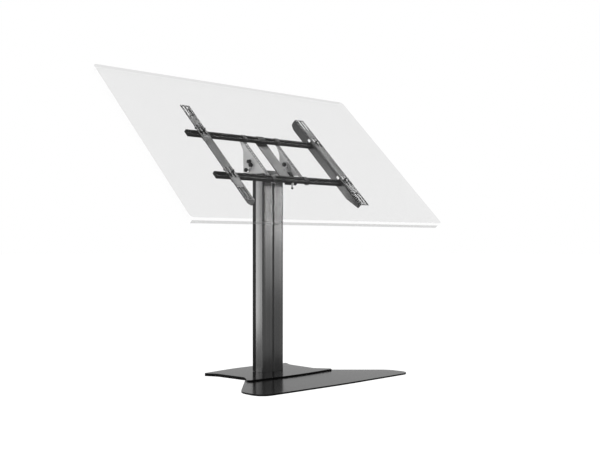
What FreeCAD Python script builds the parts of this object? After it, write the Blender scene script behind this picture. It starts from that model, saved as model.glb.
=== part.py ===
"""Display stand: a floor column that carries a wide screen on a head tilting from table to lectern.

Frame: origin on the floor under the column's axis, +X to the screen's right as seen from
the front, +Y to the back, +Z up. Millimetres. At rest the head leans at 45 degrees.
"""
import FreeCAD, Part
import math
import os

from FreeCAD import Vector

os.makedirs("parts", exist_ok=True)

# Shared values
cut_over = 1.0
fit_gap = 0.1
slide_gap = 0.2
corner_share = 0.49
shape_tolerance = 0.001
peg_sides = 10
hex_sides = 6

# Base plates
front_plate_thickness = 5.0
rear_plate_thickness = 5.0
front_plate_rear_half = 157.0
front_plate_rear_reach = 62.0
front_plate_shoulder_half = 347.0
front_plate_shoulder_reach = 253.0
front_plate_toe_half = 352.0
front_plate_toe_reach = 350.0
front_plate_bow = 10.0
front_plate_bow_radius = 2600.0
front_plate_shoulder_radius = 70.0
front_plate_toe_radius = 42.0
front_plate_rear_radius = 6.0
rear_plate_back_reach = 138.0
rear_plate_back_radius = 700.0
rear_plate_heel_half = 195.0
rear_plate_heel_reach = 109.0
rear_plate_heel_radius = 5.0
rear_plate_hip_half = 171.0
rear_plate_hip_reach = 66.0
rear_plate_hip_radius = 60.0
rear_plate_waist_half = 163.0
rear_plate_waist_radius = 8.0
rear_plate_notch_half = 173.0
rear_plate_notch_step = 16.0
rear_plate_notch_radius = 6.0
rear_plate_front_half = 203.0
rear_plate_front_reach = 124.0
rear_plate_front_radius = 10.0
rear_plate_front_bow = 16.0
rear_plate_bow_radius = 1150.0
plate_screw_diameter = 6.0
plate_screw_head = 11.0
plate_screw_head_height = 3.0
plate_screw_length = 8.4
plate_screw_overlap_span = 240.0
plate_screw_overlap_count = 3
plate_screw_heel_span = 300.0
plate_screw_heel_inset = 32.0
plate_screw_heel_count = 2

# Column
column_length = 678.0
column_half_width = 48.0
column_half_depth = 28.6
column_face_half = 37.5
column_corner_half = 48.6
column_corner_reach = 27.7
column_corner_radius = 4.5
column_side_half = 49.0
column_side_reach = 8.0
column_side_radius = 90.0
column_rear_line = 8.5
column_wall = 2.8
slot_opening = 5.2
slot_lip = 2.4
slot_cavity_width = 15.0
slot_cavity_depth = 7.0
slot_wall = 2.4
column_port_outer = 11.0
column_port_x = 31.0
column_port_front_reach = 15.5
column_port_rear_reach = 1.2
column_port_stem = 4.0
clip_groove_x = 41.0
clip_groove_width = 2.2
clip_groove_depth = 1.6
slot_strip_width = 4.8
slot_strip_recess = 1.0
slot_strip_foot_width = 13.0
slot_strip_foot_thickness = 1.4
cover_wall = 2.2
cover_seam = 0.8
cover_corner_radius = 7.0
cover_end_gap = 1.0
cover_clip_width = 2.0
cover_clip_gap = 0.1
cable_outlet_width = 44.0
cable_outlet_height = 18.0
cable_outlet_radius = 6.0
column_screw_diameter = 6.8
column_screw_head = 12.6
column_screw_head_height = 3.6
column_screw_length = 34.0

# Bracket on top of the column
bracket_thickness = 4.0
bracket_half_width = 82.5
bracket_half_depth = 26.0
bracket_ear_base_rise = 20.0
bracket_ear_radius = 20.3
bracket_lip_height = 12.0
bracket_lip_thickness = 3.0
bracket_lip_half = 72.0
bracket_cable_slot_half = 26.0
bracket_cable_slot_front = 11.0
bracket_cable_slot_back = 21.0
bracket_screw_length = 26.0
bracket_screw_head = 11.0
bracket_screw_head_height = 4.0
pivot_back = -4.0
pivot_rise = 35.5

# Pivots, clamps and detent
pivot_diameter = 8.0
pivot_running = 0.05
pivot_head_diameter = 13.0
pivot_head_height = 8.0
pivot_flange_diameter = 16.0
pivot_flange_thickness = 1.6
pivot_nut_flats = 13.0
pivot_nut_height = 7.0
pivot_thread_end = 1.5
spacer_outer = 18.0
clamp_radius = 16.6
clamp_angle = -132.4
clamp_stud_diameter = 5.0
clamp_slot_clearance = 0.3
clamp_running = 0.06
clamp_knob_diameter = 15.0
clamp_knob_height = 8.5
clamp_knob_lobes = 6
clamp_knob_waist = 12.6
clamp_collar_diameter = 10.0
clamp_collar_height = 2.5
clamp_nut_flats = 8.0
clamp_nut_height = 4.0
clamp_stud_past = 5.2
tilt_to_table = 45.0
tilt_to_upright = 30.0
slot_spare_angle = 2.0
index_step = 15.0
index_radius = 29.0
index_angle = -82.9
index_hole_clearance = 0.25
plunger_body_flats = 13.0
plunger_body_length = 5.0
plunger_neck_diameter = 9.0
plunger_neck_length = 1.0
plunger_pin_diameter = 5.0
plunger_running = 0.08
plunger_parked_gap = 0.3
plunger_knob_diameter = 13.5
plunger_knob_length = 9.0
plunger_knob_gap = 4.0
plunger_knob_chamfer = 1.5

# Head frame: along = up the screen, depth = behind the arms' front face
rest_tilt = 45.0
pivot_depth = 45.9
pivot_along = 15.8

# Rails
rail_half_length = 317.0
rail_side_offset = -8.0
rail_height = 24.0
rail_thickness = 11.0
rail_front_depth = 11.0
rail_along = 101.4
rail_slot_opening = 8.0
rail_slot_lip = 2.0
rail_slot_width = 13.0
rail_slot_depth = 3.6
rail_side_groove = 2.4
rail_side_groove_depth = 1.1
rail_cap_thickness = 3.0
rail_cap_chamfer = 2.2
rail_cap_plug_length = 10.0
rail_cap_plug_gap = 0.1

# Tilt plates
tilt_sheet = 3.0
tilt_plate_outer_x = 87.0
tilt_flange_width = 17.0
tilt_plate_half_length = 115.0
tilt_web_top = 108.0
tilt_web_top_depth = 30.0
tilt_web_knee_along = 66.5
tilt_web_knee_depth = 42.6
tilt_web_heel_along = 8.8
tilt_web_heel_depth = 100.4
tilt_web_toe_along = -66.6
tilt_web_heel_radius = 14.0
tilt_web_knee_radius = 30.0
perforation_width = 9.0
perforation_length = 8.0
perforation_pitch = 13.0
perforation_count = 13
rail_screw_diameter = 5.0
rail_screw_head = 9.0
rail_screw_head_height = 2.8
rail_screw_length = 8.0

# Centre brace, stop and cable clip
brace_half_width = 25.0
brace_end_chamfer = 6.0
brace_screw_x = 15.0
stop_block_half_width = 26.0
stop_block_drop = 5.0
stop_block_front = 12.0
stop_block_back = 27.0
stop_block_chamfer = 1.5
post_x = 4.0
post_diameter = 7.0
post_length = 12.0
post_tip_diameter = 7.6
post_tip_length = 6.0
post_tip_chamfer = 1.8
post_collar_diameter = 10.0
post_collar_height = 2.0
post_depth = 20.0
clip_along = -66.0
clip_length = 20.0
clip_reach = 17.0
clip_wall = 2.5
clip_inside = 9.0
clip_chamfer = 2.0

# Screen arms
arm_half_length = 230.8
arm_face_width = 43.0
rail_past_arm = 27.0
arm_sheet = 2.5
arm_depth = 33.0
arm_bend_radius = 7.0
arm_bend_inside = 4.5
arm_slot_width = 8.5
arm_slot_outer_inset = 9.5
arm_slot_row_pitch = 16.0
arm_slot_far_along = 200.7
arm_slot_far_length = 56.0
arm_slot_near_along = 103.3
arm_slot_near_length = 50.5
arm_end_short_taper = 19.0
arm_end_short_drop = 8.0
arm_end_long_taper = 64.0
arm_end_long_drop = 15.0
arm_end_radius = 4.0
arm_taper_radius = 24.0
arm_relief = 14.0
arm_relief_front = 3.5
arm_relief_overlap = 2.0

# Arm clamps
clamp_plate_half_width = 5.5
clamp_plate_gap = 2.0
clamp_plate_reach = 20.0
clamp_plate_thickness = 3.0
clamp_screw_reach = 15.6
clamp_screw_diameter = 4.0
clamp_screw_head = 7.0
clamp_screw_head_height = 2.6

# Screen
screen_width = 1168.0
screen_height = 703.0
screen_offset = 5.0
screen_front_thickness = 13.0
screen_back_thickness = 14.0
screen_back_inset = 3.0
screen_corner_radius = 14.0
screen_edge_chamfer = 2.0
screen_screw_diameter = 6.0
screen_screw_head = 10.5
screen_screw_head_height = 3.6
screen_screw_washer = 15.0
screen_screw_washer_thickness = 1.2
screen_screw_length = 14.0

# Worked out from the values above
rear_plate_top = front_plate_thickness + rear_plate_thickness
column_top = rear_plate_top + column_length
bracket_top = column_top + bracket_thickness
pivot_height = bracket_top + pivot_rise
tilt_plate_inner_x = tilt_plate_outer_x - tilt_sheet
ear_inner_x = bracket_half_width - bracket_thickness
spacer_thickness = tilt_plate_inner_x - bracket_half_width - fit_gap
rail_back_depth = rail_front_depth + rail_thickness
flange_back_depth = rail_back_depth + tilt_sheet
arm_outer_x = rail_half_length - rail_past_arm
arm_inner_x = arm_outer_x - arm_face_width
arm_slot_outer_x = arm_outer_x - arm_slot_outer_inset
arm_slot_inner_x = arm_slot_outer_x - arm_slot_row_pitch
arm_clamp_x = arm_inner_x + arm_sheet + clamp_plate_gap + clamp_plate_half_width
pivot_point = Vector(0, pivot_back, pivot_height)


def head_placement():
    """Placement that takes head coordinates (x, along, out of the screen side) to the world."""
    turn = FreeCAD.Rotation(Vector(1, 0, 0), rest_tilt)
    arm_origin = pivot_point - turn.multVec(Vector(0, pivot_along, -pivot_depth))
    return FreeCAD.Placement(arm_origin, turn)


HEAD = head_placement()
AXIS_X = Vector(1, 0, 0)
AXIS_Y = Vector(0, 1, 0)
AXIS_Z = Vector(0, 0, 1)


def to_head(shape):
    """Move a shape built in head coordinates to its place at rest."""
    moved = shape.copy()
    moved.Placement = HEAD.multiply(moved.Placement)
    return moved


def block(x0, x1, y0, y1, z0, z1):
    """Box between two corners."""
    return Part.makeBox(x1 - x0, y1 - y0, z1 - z0, Vector(x0, y0, z0))


def depth_block(x0, x1, s0, s1, depth0, depth1):
    """Box in head coordinates, with its depth measured behind the arms' front face."""
    return block(x0, x1, s0, s1, -depth1, -depth0)


def rod(diameter, length, start, direction):
    """Round bar from a start point along a direction."""
    return Part.makeCylinder(diameter / 2, length, start, direction)


def prism(corners, length, start, direction):
    """Straight bar on a closed outline, from a start point along a direction."""
    bar = Part.Face(Part.makePolygon(corners + corners[:1])).extrude(Vector(0, 0, length))
    bar.Placement = FreeCAD.Placement(start, FreeCAD.Rotation(AXIS_Z, direction))
    return bar


def ring_points(radii):
    """Points evenly turned about the origin, one for each radius."""
    step = 2 * math.pi / len(radii)
    return [Vector(r * math.cos(i * step), r * math.sin(i * step), 0) for i, r in enumerate(radii)]


def peg(diameter, length, start, direction):
    """Plain bar for a small fastener or its hole: a polygon with its corners on the diameter."""
    return prism(ring_points([diameter / 2] * peg_sides), length, start, direction)


def peg_around(diameter, length, start, direction):
    """Plain hole whose flats just clear a round bar of the diameter."""
    return peg(diameter / math.cos(math.pi / peg_sides), length, start, direction)


def prism_hex(flats, length, start, direction):
    """Hexagonal bar from a start point along a direction."""
    radius = flats / 2 / math.cos(math.pi / hex_sides)
    return prism(ring_points([radius] * hex_sides), length, start, direction)


def rounded_wire(points, radii, height=0.0):
    """Closed wire through points in XY, with an arc of its own radius at each corner."""
    count = len(points)
    edges = []
    starts = []
    ends = []
    mids = []
    for i, (point, radius) in enumerate(zip(points, radii)):
        here = Vector(point[0], point[1], height)
        before = Vector(points[i - 1][0], points[i - 1][1], height)
        after = Vector(points[(i + 1) % count][0], points[(i + 1) % count][1], height)
        to_before = (before - here).normalize()
        to_after = (after - here).normalize()
        if radius <= 0:
            starts.append(here)
            ends.append(here)
            mids.append(None)
            continue
        half = to_before.getAngle(to_after) / 2
        room = corner_share * min(here.distanceToPoint(before), here.distanceToPoint(after))
        reach = min(radius / math.tan(half), room)
        radius = reach * math.tan(half)
        bisector = (to_before + to_after).normalize()
        centre = here + bisector * (radius / math.sin(half))
        starts.append(here + to_before * reach)
        ends.append(here + to_after * reach)
        mids.append(centre - bisector * radius)
    for i in range(count):
        if mids[i] is not None:
            edges.append(Part.Arc(starts[i], mids[i], ends[i]).toShape())
        following = starts[(i + 1) % count]
        if ends[i].distanceToPoint(following) > shape_tolerance:
            edges.append(Part.LineSegment(ends[i], following).toShape())
    return Part.Wire(edges)


def plate(points, radii, bottom, thickness):
    """Flat plate with rounded corners, lying in XY."""
    return Part.Face(rounded_wire(points, radii, bottom)).extrude(Vector(0, 0, thickness))


def mirrored(points, radii):
    """Right-hand outline points from back to front, completed by their mirror images."""
    left = [(-x, y) for x, y in reversed(points) if x > 0]
    left_radii = [r for (x, _), r in zip(reversed(points), reversed(radii)) if x > 0]
    return list(points) + left, list(radii) + left_radii


def screw(diameter, length, head_diameter, head_height, seat, direction):
    """Screw whose head stands on the seat point; the direction points into the work."""
    shank = peg(diameter, length, seat, direction)
    head = peg(head_diameter, head_height, seat - direction * head_height, direction)
    return head.fuse(shank)


def sunk_screw(diameter, length, head_diameter, head_height, seat, direction):
    """Low-head screw flush with the seat point, which is also the shape of its own hole."""
    return peg(head_diameter, head_height, seat, direction).fuse(peg(diameter, length, seat, direction))


def group(shapes):
    """Several separate solids in one shape."""
    return Part.Compound(shapes)


def save(name, shape):
    """Write one node's STEP file."""
    shape.exportStep("parts/" + name + ".step")


# Outlines of the base plates

def front_plate_outline():
    """Wide trapezoid with a gently bowed front edge."""
    right = [
        (front_plate_rear_half, -front_plate_rear_reach),
        (front_plate_shoulder_half, -front_plate_shoulder_reach),
        (front_plate_toe_half, -front_plate_toe_reach),
        (0, -front_plate_toe_reach - front_plate_bow),
    ]
    radii = [front_plate_rear_radius, front_plate_shoulder_radius, front_plate_toe_radius, front_plate_bow_radius]
    return mirrored(right, radii)


def rear_plate_waist_reach():
    """Where the rear plate stops narrowing: the rear edge of the front plate."""
    return front_plate_rear_reach


def rear_plate_sides():
    """Right side of the rear plate from heel to waist."""
    return [
        (rear_plate_heel_half, rear_plate_heel_reach),
        (rear_plate_hip_half, rear_plate_hip_reach),
    ], [rear_plate_heel_radius, rear_plate_hip_radius]


def rear_plate_outline():
    """Waisted plate with a bowed back and a flared front lip."""
    sides, side_radii = rear_plate_sides()
    waist = rear_plate_waist_reach()
    right = [(0, rear_plate_back_reach)] + sides + [
        (rear_plate_waist_half, -waist),
        (rear_plate_notch_half, -waist - rear_plate_notch_step),
        (rear_plate_front_half, -rear_plate_front_reach),
        (0, -rear_plate_front_reach - rear_plate_front_bow),
    ]
    radii = [rear_plate_back_radius] + side_radii + [
        rear_plate_waist_radius, rear_plate_notch_radius, rear_plate_front_radius, rear_plate_bow_radius,
    ]
    return mirrored(right, radii)


def packer_outline():
    """Under plate behind the front plate, flush with the rear plate's sides."""
    sides, side_radii = rear_plate_sides()
    right = [(0, rear_plate_back_reach)] + sides + [(rear_plate_waist_half, -rear_plate_waist_reach())]
    radii = [rear_plate_back_radius] + side_radii + [0]
    return mirrored(right, radii)


def column_port_places():
    """Screw ports in the column's section."""
    return [(side * column_port_x, -reach) for side in (-1, 1)
            for reach in (column_port_front_reach, column_port_rear_reach)]


def overlap_screw_places():
    """Screws that join the front plate to the rear plate."""
    middle = -(front_plate_rear_reach + rear_plate_front_reach) / 2
    step = plate_screw_overlap_span / (plate_screw_overlap_count - 1)
    return [(-plate_screw_overlap_span / 2 + i * step, middle) for i in range(plate_screw_overlap_count)]


def heel_screw_places():
    """Screws that join the under plate to the rear plate."""
    row = rear_plate_heel_reach - plate_screw_heel_inset
    step = plate_screw_heel_span / (plate_screw_heel_count - 1)
    return [(-plate_screw_heel_span / 2 + i * step, row) for i in range(plate_screw_heel_count)]


def base_screws():
    """Low-head screws that join the base plates, from below."""
    return [sunk_screw(plate_screw_diameter, plate_screw_length, plate_screw_head, plate_screw_head_height,
                       Vector(x, y, 0), AXIS_Z)
            for x, y in overlap_screw_places() + heel_screw_places()]


def foot_screws():
    """Low-head screws that go up through the base into the column's ports."""
    return [sunk_screw(column_screw_diameter, column_screw_length, column_screw_head, column_screw_head_height,
                       Vector(x, y, 0), AXIS_Z)
            for x, y in column_port_places()]


def build_base():
    """Front plate, rear plate, the plate under it and their screws."""
    holes = group(base_screws() + foot_screws())
    outline, radii = front_plate_outline()
    front = plate(outline, radii, 0, front_plate_thickness).cut(holes)
    outline, radii = rear_plate_outline()
    rear = plate(outline, radii, front_plate_thickness, rear_plate_thickness).cut(holes)
    outline, radii = packer_outline()
    packer = plate(outline, radii, 0, front_plate_thickness).cut(holes)
    save("front_base_plate", front)
    save("rear_base_plate", rear)
    save("rear_base_packer_plate", packer)
    save("base_plate_screws", group(base_screws()))
    save("column_foot_screws", group(foot_screws()))


# Column

def column_outer_wire(inset):
    """Front part of the column's section: flat face, small corners and full sides, drawn in by inset."""
    right = [
        (column_half_width - inset, column_rear_line - inset),
        (column_side_half - inset, -column_side_reach),
        (column_corner_half - inset, inset - column_corner_reach),
        (column_face_half - inset, inset - column_half_depth),
    ]
    points, radii = mirrored(right, [0, column_side_radius, column_corner_radius - inset, 0])
    return rounded_wire(points, radii)


def build_column():
    """Extruded column: hollow, with a slot in its face, screw ports and grooves for the cover."""
    rise = Vector(0, 0, column_length)
    outer = Part.Face(column_outer_wire(0)).extrude(rise)
    hollow = Part.Face(column_outer_wire(column_wall)).extrude(rise)
    face_y = -column_half_depth
    channel_half = slot_cavity_width / 2 + slot_wall
    channel_back = face_y + slot_lip + slot_cavity_depth + slot_wall
    added = [block(-channel_half, channel_half, face_y, channel_back, 0, column_length)]
    for x, y in column_port_places():
        added.append(peg(column_port_outer, column_length, Vector(x, y, 0), AXIS_Z))
    middle = -(column_port_front_reach + column_port_rear_reach) / 2
    for side in (-1, 1):
        x = side * column_port_x
        added.append(block(x - column_port_stem / 2, x + column_port_stem / 2, face_y, -column_port_front_reach,
                           0, column_length))
        added.append(block(x - column_port_stem / 2, x + column_port_stem / 2, middle, column_rear_line,
                           0, column_length))
    body = outer.cut(hollow).multiFuse([shape.common(outer) for shape in added])
    tools = [
        block(-slot_opening / 2, slot_opening / 2, face_y - cut_over, face_y + slot_lip + fit_gap, 0, column_length),
        block(-slot_cavity_width / 2, slot_cavity_width / 2, face_y + slot_lip,
              face_y + slot_lip + slot_cavity_depth, 0, column_length),
    ]
    for x, y in column_port_places():
        tools.append(peg(column_screw_diameter, column_length, Vector(x, y, 0), AXIS_Z))
    for side in (-1, 1):
        x = side * clip_groove_x
        tools.append(block(x - clip_groove_width / 2, x + clip_groove_width / 2,
                           column_rear_line - clip_groove_depth, column_rear_line + cut_over, 0, column_length))
    body = body.cut(group(tools)).removeSplitter()
    body.translate(Vector(0, 0, rear_plate_top))
    save("column_extrusion", body)
    build_slot_strip()
    build_rear_cover()


def build_slot_strip():
    """Soft strip pressed into the front slot, a little below the column's face."""
    face_y = -column_half_depth
    half = slot_strip_width / 2
    foot = slot_strip_foot_width / 2
    top = face_y + slot_lip
    strip = block(-half, half, face_y + slot_strip_recess, top + slot_strip_foot_thickness,
                  rear_plate_top, column_top)
    base = block(-foot, foot, top, top + slot_strip_foot_thickness, rear_plate_top, column_top)
    save("front_slot_strip", strip.fuse(base).removeSplitter())


def build_rear_cover():
    """U-shaped cable cover that clips to the back of the column."""
    low = rear_plate_top + cover_end_gap
    high = column_top - cover_end_gap
    start = column_rear_line + cover_seam
    points = [
        (column_half_width, start), (column_half_width, column_half_depth),
        (-column_half_width, column_half_depth), (-column_half_width, start),
    ]
    radii = [0, cover_corner_radius, cover_corner_radius, 0]
    outer = plate(points, radii, low, high - low)
    inner_half = column_half_width - cover_wall
    inner_back = column_half_depth - cover_wall
    inner_radius = cover_corner_radius - cover_wall
    points = [
        (inner_half, start - cut_over), (inner_half, inner_back),
        (-inner_half, inner_back), (-inner_half, start - cut_over),
    ]
    inner = plate(points, [0, inner_radius, inner_radius, 0], low - cut_over, high - low + 2 * cut_over)
    cover = outer.cut(inner)
    leg_tip = column_rear_line - clip_groove_depth + cover_clip_gap
    for side in (-1, 1):
        x = side * clip_groove_x
        leg = block(x - cover_clip_width / 2, x + cover_clip_width / 2, leg_tip, inner_back + fit_gap, low, high)
        cover = cover.fuse(leg)
    half = cable_outlet_width / 2
    arch_top = low + cable_outlet_height
    corners = [(half, low - cut_over), (half, arch_top), (-half, arch_top), (-half, low - cut_over)]
    arch = Part.Face(rounded_wire(corners, [0, cable_outlet_radius, cable_outlet_radius, 0]))
    arch = arch.extrude(Vector(0, 0, cover_wall + 2 * cut_over))
    arch.Placement = FreeCAD.Placement(Vector(0, column_half_depth + cut_over, 0), FreeCAD.Rotation(AXIS_X, 90))
    save("rear_cable_cover", cover.cut(arch).removeSplitter())


# Bracket, pivots and clamps

def about_pivot(radius, angle, x=0.0):
    """World point at a radius and an angle, in degrees, around the pivot axis."""
    turn = math.radians(angle)
    return Vector(x, pivot_back + radius * math.cos(turn), pivot_height + radius * math.sin(turn))


def ear(side):
    """One upright of the bracket."""
    x = side * ear_inner_x
    shoulder = bracket_top + bracket_ear_base_rise
    corners = [
        Vector(x, -bracket_half_depth, column_top), Vector(x, bracket_half_depth, column_top),
        Vector(x, bracket_half_depth, shoulder), Vector(x, pivot_back + bracket_ear_radius, pivot_height),
        Vector(x, pivot_back - bracket_ear_radius, pivot_height), Vector(x, -bracket_half_depth, shoulder),
    ]
    corners.append(corners[0])
    sheet = Part.Face(Part.makePolygon(corners)).extrude(Vector(side * bracket_thickness, 0, 0))
    crown = rod(2 * bracket_ear_radius, bracket_thickness, Vector(x, pivot_back, pivot_height), AXIS_X * side)
    return sheet.fuse(crown)


def clamp_slot(side):
    """Curved slot around the pivot in one ear, as a tool."""
    first = math.radians(clamp_angle - tilt_to_table - slot_spare_angle)
    last = math.radians(clamp_angle + tilt_to_upright + slot_spare_angle)
    half = clamp_stud_diameter / 2 + clamp_slot_clearance
    start_x = side * (ear_inner_x - cut_over)
    thickness = bracket_thickness + 2 * cut_over
    inner = clamp_radius - half
    outer = clamp_radius + half

    def on_arc(radius, angle):
        return about_pivot(radius, math.degrees(angle), start_x)

    middle = (first + last) / 2
    edges = [
        Part.Arc(on_arc(outer, first), on_arc(outer, middle), on_arc(outer, last)).toShape(),
        Part.LineSegment(on_arc(outer, last), on_arc(inner, last)).toShape(),
        Part.Arc(on_arc(inner, last), on_arc(inner, middle), on_arc(inner, first)).toShape(),
        Part.LineSegment(on_arc(inner, first), on_arc(outer, first)).toShape(),
    ]
    tool = Part.Face(Part.Wire(edges)).extrude(Vector(side * thickness, 0, 0))
    ends = [rod(2 * half, thickness, on_arc(clamp_radius, angle), AXIS_X * side) for angle in (first, last)]
    return tool.multiFuse(ends)


def index_angles():
    """Angles at which the plunger finds a hole: rest, and whole steps to either side."""
    below = round(tilt_to_table / index_step)
    above = round(tilt_to_upright / index_step)
    return [index_angle + i * index_step for i in range(-below, above + 1)]


def build_bracket():
    """U-shaped bracket on the column's top, with ears for the pivots."""
    base = block(-bracket_half_width, bracket_half_width, -bracket_half_depth, bracket_half_depth,
                 column_top, bracket_top)
    parts = [ear(-1), ear(1)]
    lip_top = column_top + bracket_lip_height
    for front, back in ((-bracket_half_depth, -bracket_half_depth + bracket_lip_thickness),
                        (bracket_half_depth - bracket_lip_thickness, bracket_half_depth)):
        parts.append(block(-bracket_lip_half, bracket_lip_half, front, back, column_top, lip_top))
    body = base.multiFuse(parts)
    through = bracket_thickness + 2 * cut_over
    holes = [block(-bracket_cable_slot_half, bracket_cable_slot_half, bracket_cable_slot_front,
                   bracket_cable_slot_back, column_top - cut_over, bracket_top + cut_over)]
    for side in (-1, 1):
        start = Vector(side * (ear_inner_x - cut_over), pivot_back, pivot_height)
        holes.append(peg_around(pivot_diameter + 2 * fit_gap, through, start, AXIS_X * side))
        holes.append(clamp_slot(side))
    for angle in index_angles():
        start = about_pivot(index_radius, angle, -(ear_inner_x - cut_over))
        holes.append(peg_around(plunger_pin_diameter + 2 * index_hole_clearance, through, start, AXIS_X * -1))
    for x, y in column_port_places():
        holes.append(peg(column_screw_diameter, through, Vector(x, y, column_top - cut_over), AXIS_Z))
    save("column_top_bracket", body.cut(group(holes)).removeSplitter())
    screws = [screw(column_screw_diameter, bracket_screw_length, bracket_screw_head, bracket_screw_head_height,
                    Vector(x, y, bracket_top), AXIS_Z * -1)
              for x, y in column_port_places()]
    save("bracket_screws", group(screws))


def build_pivots():
    """Flanged pivot bolts and their nuts, one of each on either side."""
    bolts = []
    nuts = []
    seat_x = tilt_plate_outer_x + fit_gap
    threaded = pivot_nut_height + pivot_thread_end
    for side in (-1, 1):
        inward = AXIS_X * -side
        seat = Vector(side * seat_x, pivot_back, pivot_height)
        nut_seat = Vector(side * ear_inner_x, pivot_back, pivot_height)
        head_height = pivot_flange_thickness + pivot_head_height
        head = peg(pivot_head_diameter, head_height, seat - inward * head_height, inward)
        flange = peg(pivot_flange_diameter, pivot_flange_thickness, seat - inward * pivot_flange_thickness, inward)
        shank = rod(pivot_diameter, seat_x - ear_inner_x, seat, inward)
        bolts.append(head.multiFuse([flange, shank, peg(pivot_diameter, threaded, nut_seat, inward)]))
        nut = prism_hex(pivot_nut_flats, pivot_nut_height, nut_seat, inward)
        nuts.append(nut.cut(peg(pivot_diameter, pivot_nut_height, nut_seat, inward)))
    save("pivot_bolts", group(bolts))
    save("pivot_nuts", group(nuts))


def build_clamps():
    """Lobed knobs whose studs run in the ears' curved slots, each with its nut."""
    nuts = []
    for side, name in ((-1, "left_clamp_knob"), (1, "right_clamp_knob")):
        inward = AXIS_X * -side
        seat = about_pivot(clamp_radius, clamp_angle, side * (tilt_plate_outer_x + fit_gap))
        knob_start = seat - inward * (clamp_collar_height + clamp_knob_height)
        radii = [clamp_knob_diameter / 2, clamp_knob_waist / 2] * clamp_knob_lobes
        knob = prism(ring_points(radii), clamp_knob_height, knob_start, inward)
        collar = peg(clamp_collar_diameter, clamp_collar_height, seat - inward * clamp_collar_height, inward)
        stud = rod(clamp_stud_diameter, tilt_plate_outer_x + fit_gap - ear_inner_x + clamp_stud_past, seat, inward)
        save(name, knob.fuse(collar).fuse(stud).removeSplitter())
        nut_seat = about_pivot(clamp_radius, clamp_angle, side * (ear_inner_x - fit_gap))
        nut = prism_hex(clamp_nut_flats, clamp_nut_height, nut_seat, inward)
        bore = peg_around(clamp_stud_diameter + 2 * clamp_running, clamp_nut_height, nut_seat, inward)
        nuts.append(nut.cut(bore))
    save("clamp_nuts", group(nuts))


def build_plunger():
    """Index plunger on the left tilt plate: its body, and the pin with its grip, parked out."""
    outward = AXIS_X * -1
    seat = about_pivot(index_radius, index_angle, -tilt_plate_outer_x)
    collar = prism_hex(plunger_body_flats, plunger_body_length, seat, outward)
    thread = peg(plunger_neck_diameter, tilt_sheet, seat, AXIS_X)
    neck = peg(plunger_neck_diameter, plunger_neck_length, seat + outward * plunger_body_length, outward)
    through = tilt_sheet + plunger_body_length + plunger_neck_length
    bore = peg(plunger_pin_diameter + 2 * plunger_running, through, seat - outward * tilt_sheet, outward)
    save("plunger_body", collar.multiFuse([thread, neck]).cut(bore).removeSplitter())
    tip = about_pivot(index_radius, index_angle, -(bracket_half_width + plunger_parked_gap))
    grip_near = tilt_plate_outer_x + plunger_body_length + plunger_neck_length + plunger_knob_gap
    grip_start = about_pivot(index_radius, index_angle, -grip_near)
    grip = peg(plunger_knob_diameter, plunger_knob_length, grip_start, outward)
    rim = [e for e in grip.Edges if e.BoundBox.XLength < fit_gap]
    grip = grip.makeChamfer(plunger_knob_chamfer, rim)
    pin = peg(plunger_pin_diameter, grip_near - bracket_half_width - plunger_parked_gap, tip, outward)
    save("plunger_pin", pin)
    save("plunger_grip", grip)


# Tilt plates, rails and brace

def web_outline():
    """Corners of the tilt plate's web as (along, depth), with their radii."""
    corners = [
        (tilt_web_top, rail_back_depth), (tilt_web_top, tilt_web_top_depth),
        (tilt_web_knee_along, tilt_web_knee_depth), (tilt_web_heel_along, tilt_web_heel_depth),
        (tilt_web_toe_along, rail_back_depth),
    ]
    return corners, [0, 0, tilt_web_knee_radius, tilt_web_heel_radius, 0]


def rail_screw_places(offset_x):
    """Screws through a flange into both rails, as (x, along)."""
    return [(offset_x, side * rail_along) for side in (-1, 1)]


def tilt_flange_centre():
    """Middle of the tilt plate's flange, measured from the middle of the head."""
    return tilt_plate_outer_x - tilt_sheet - (tilt_flange_width - tilt_sheet) / 2


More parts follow.
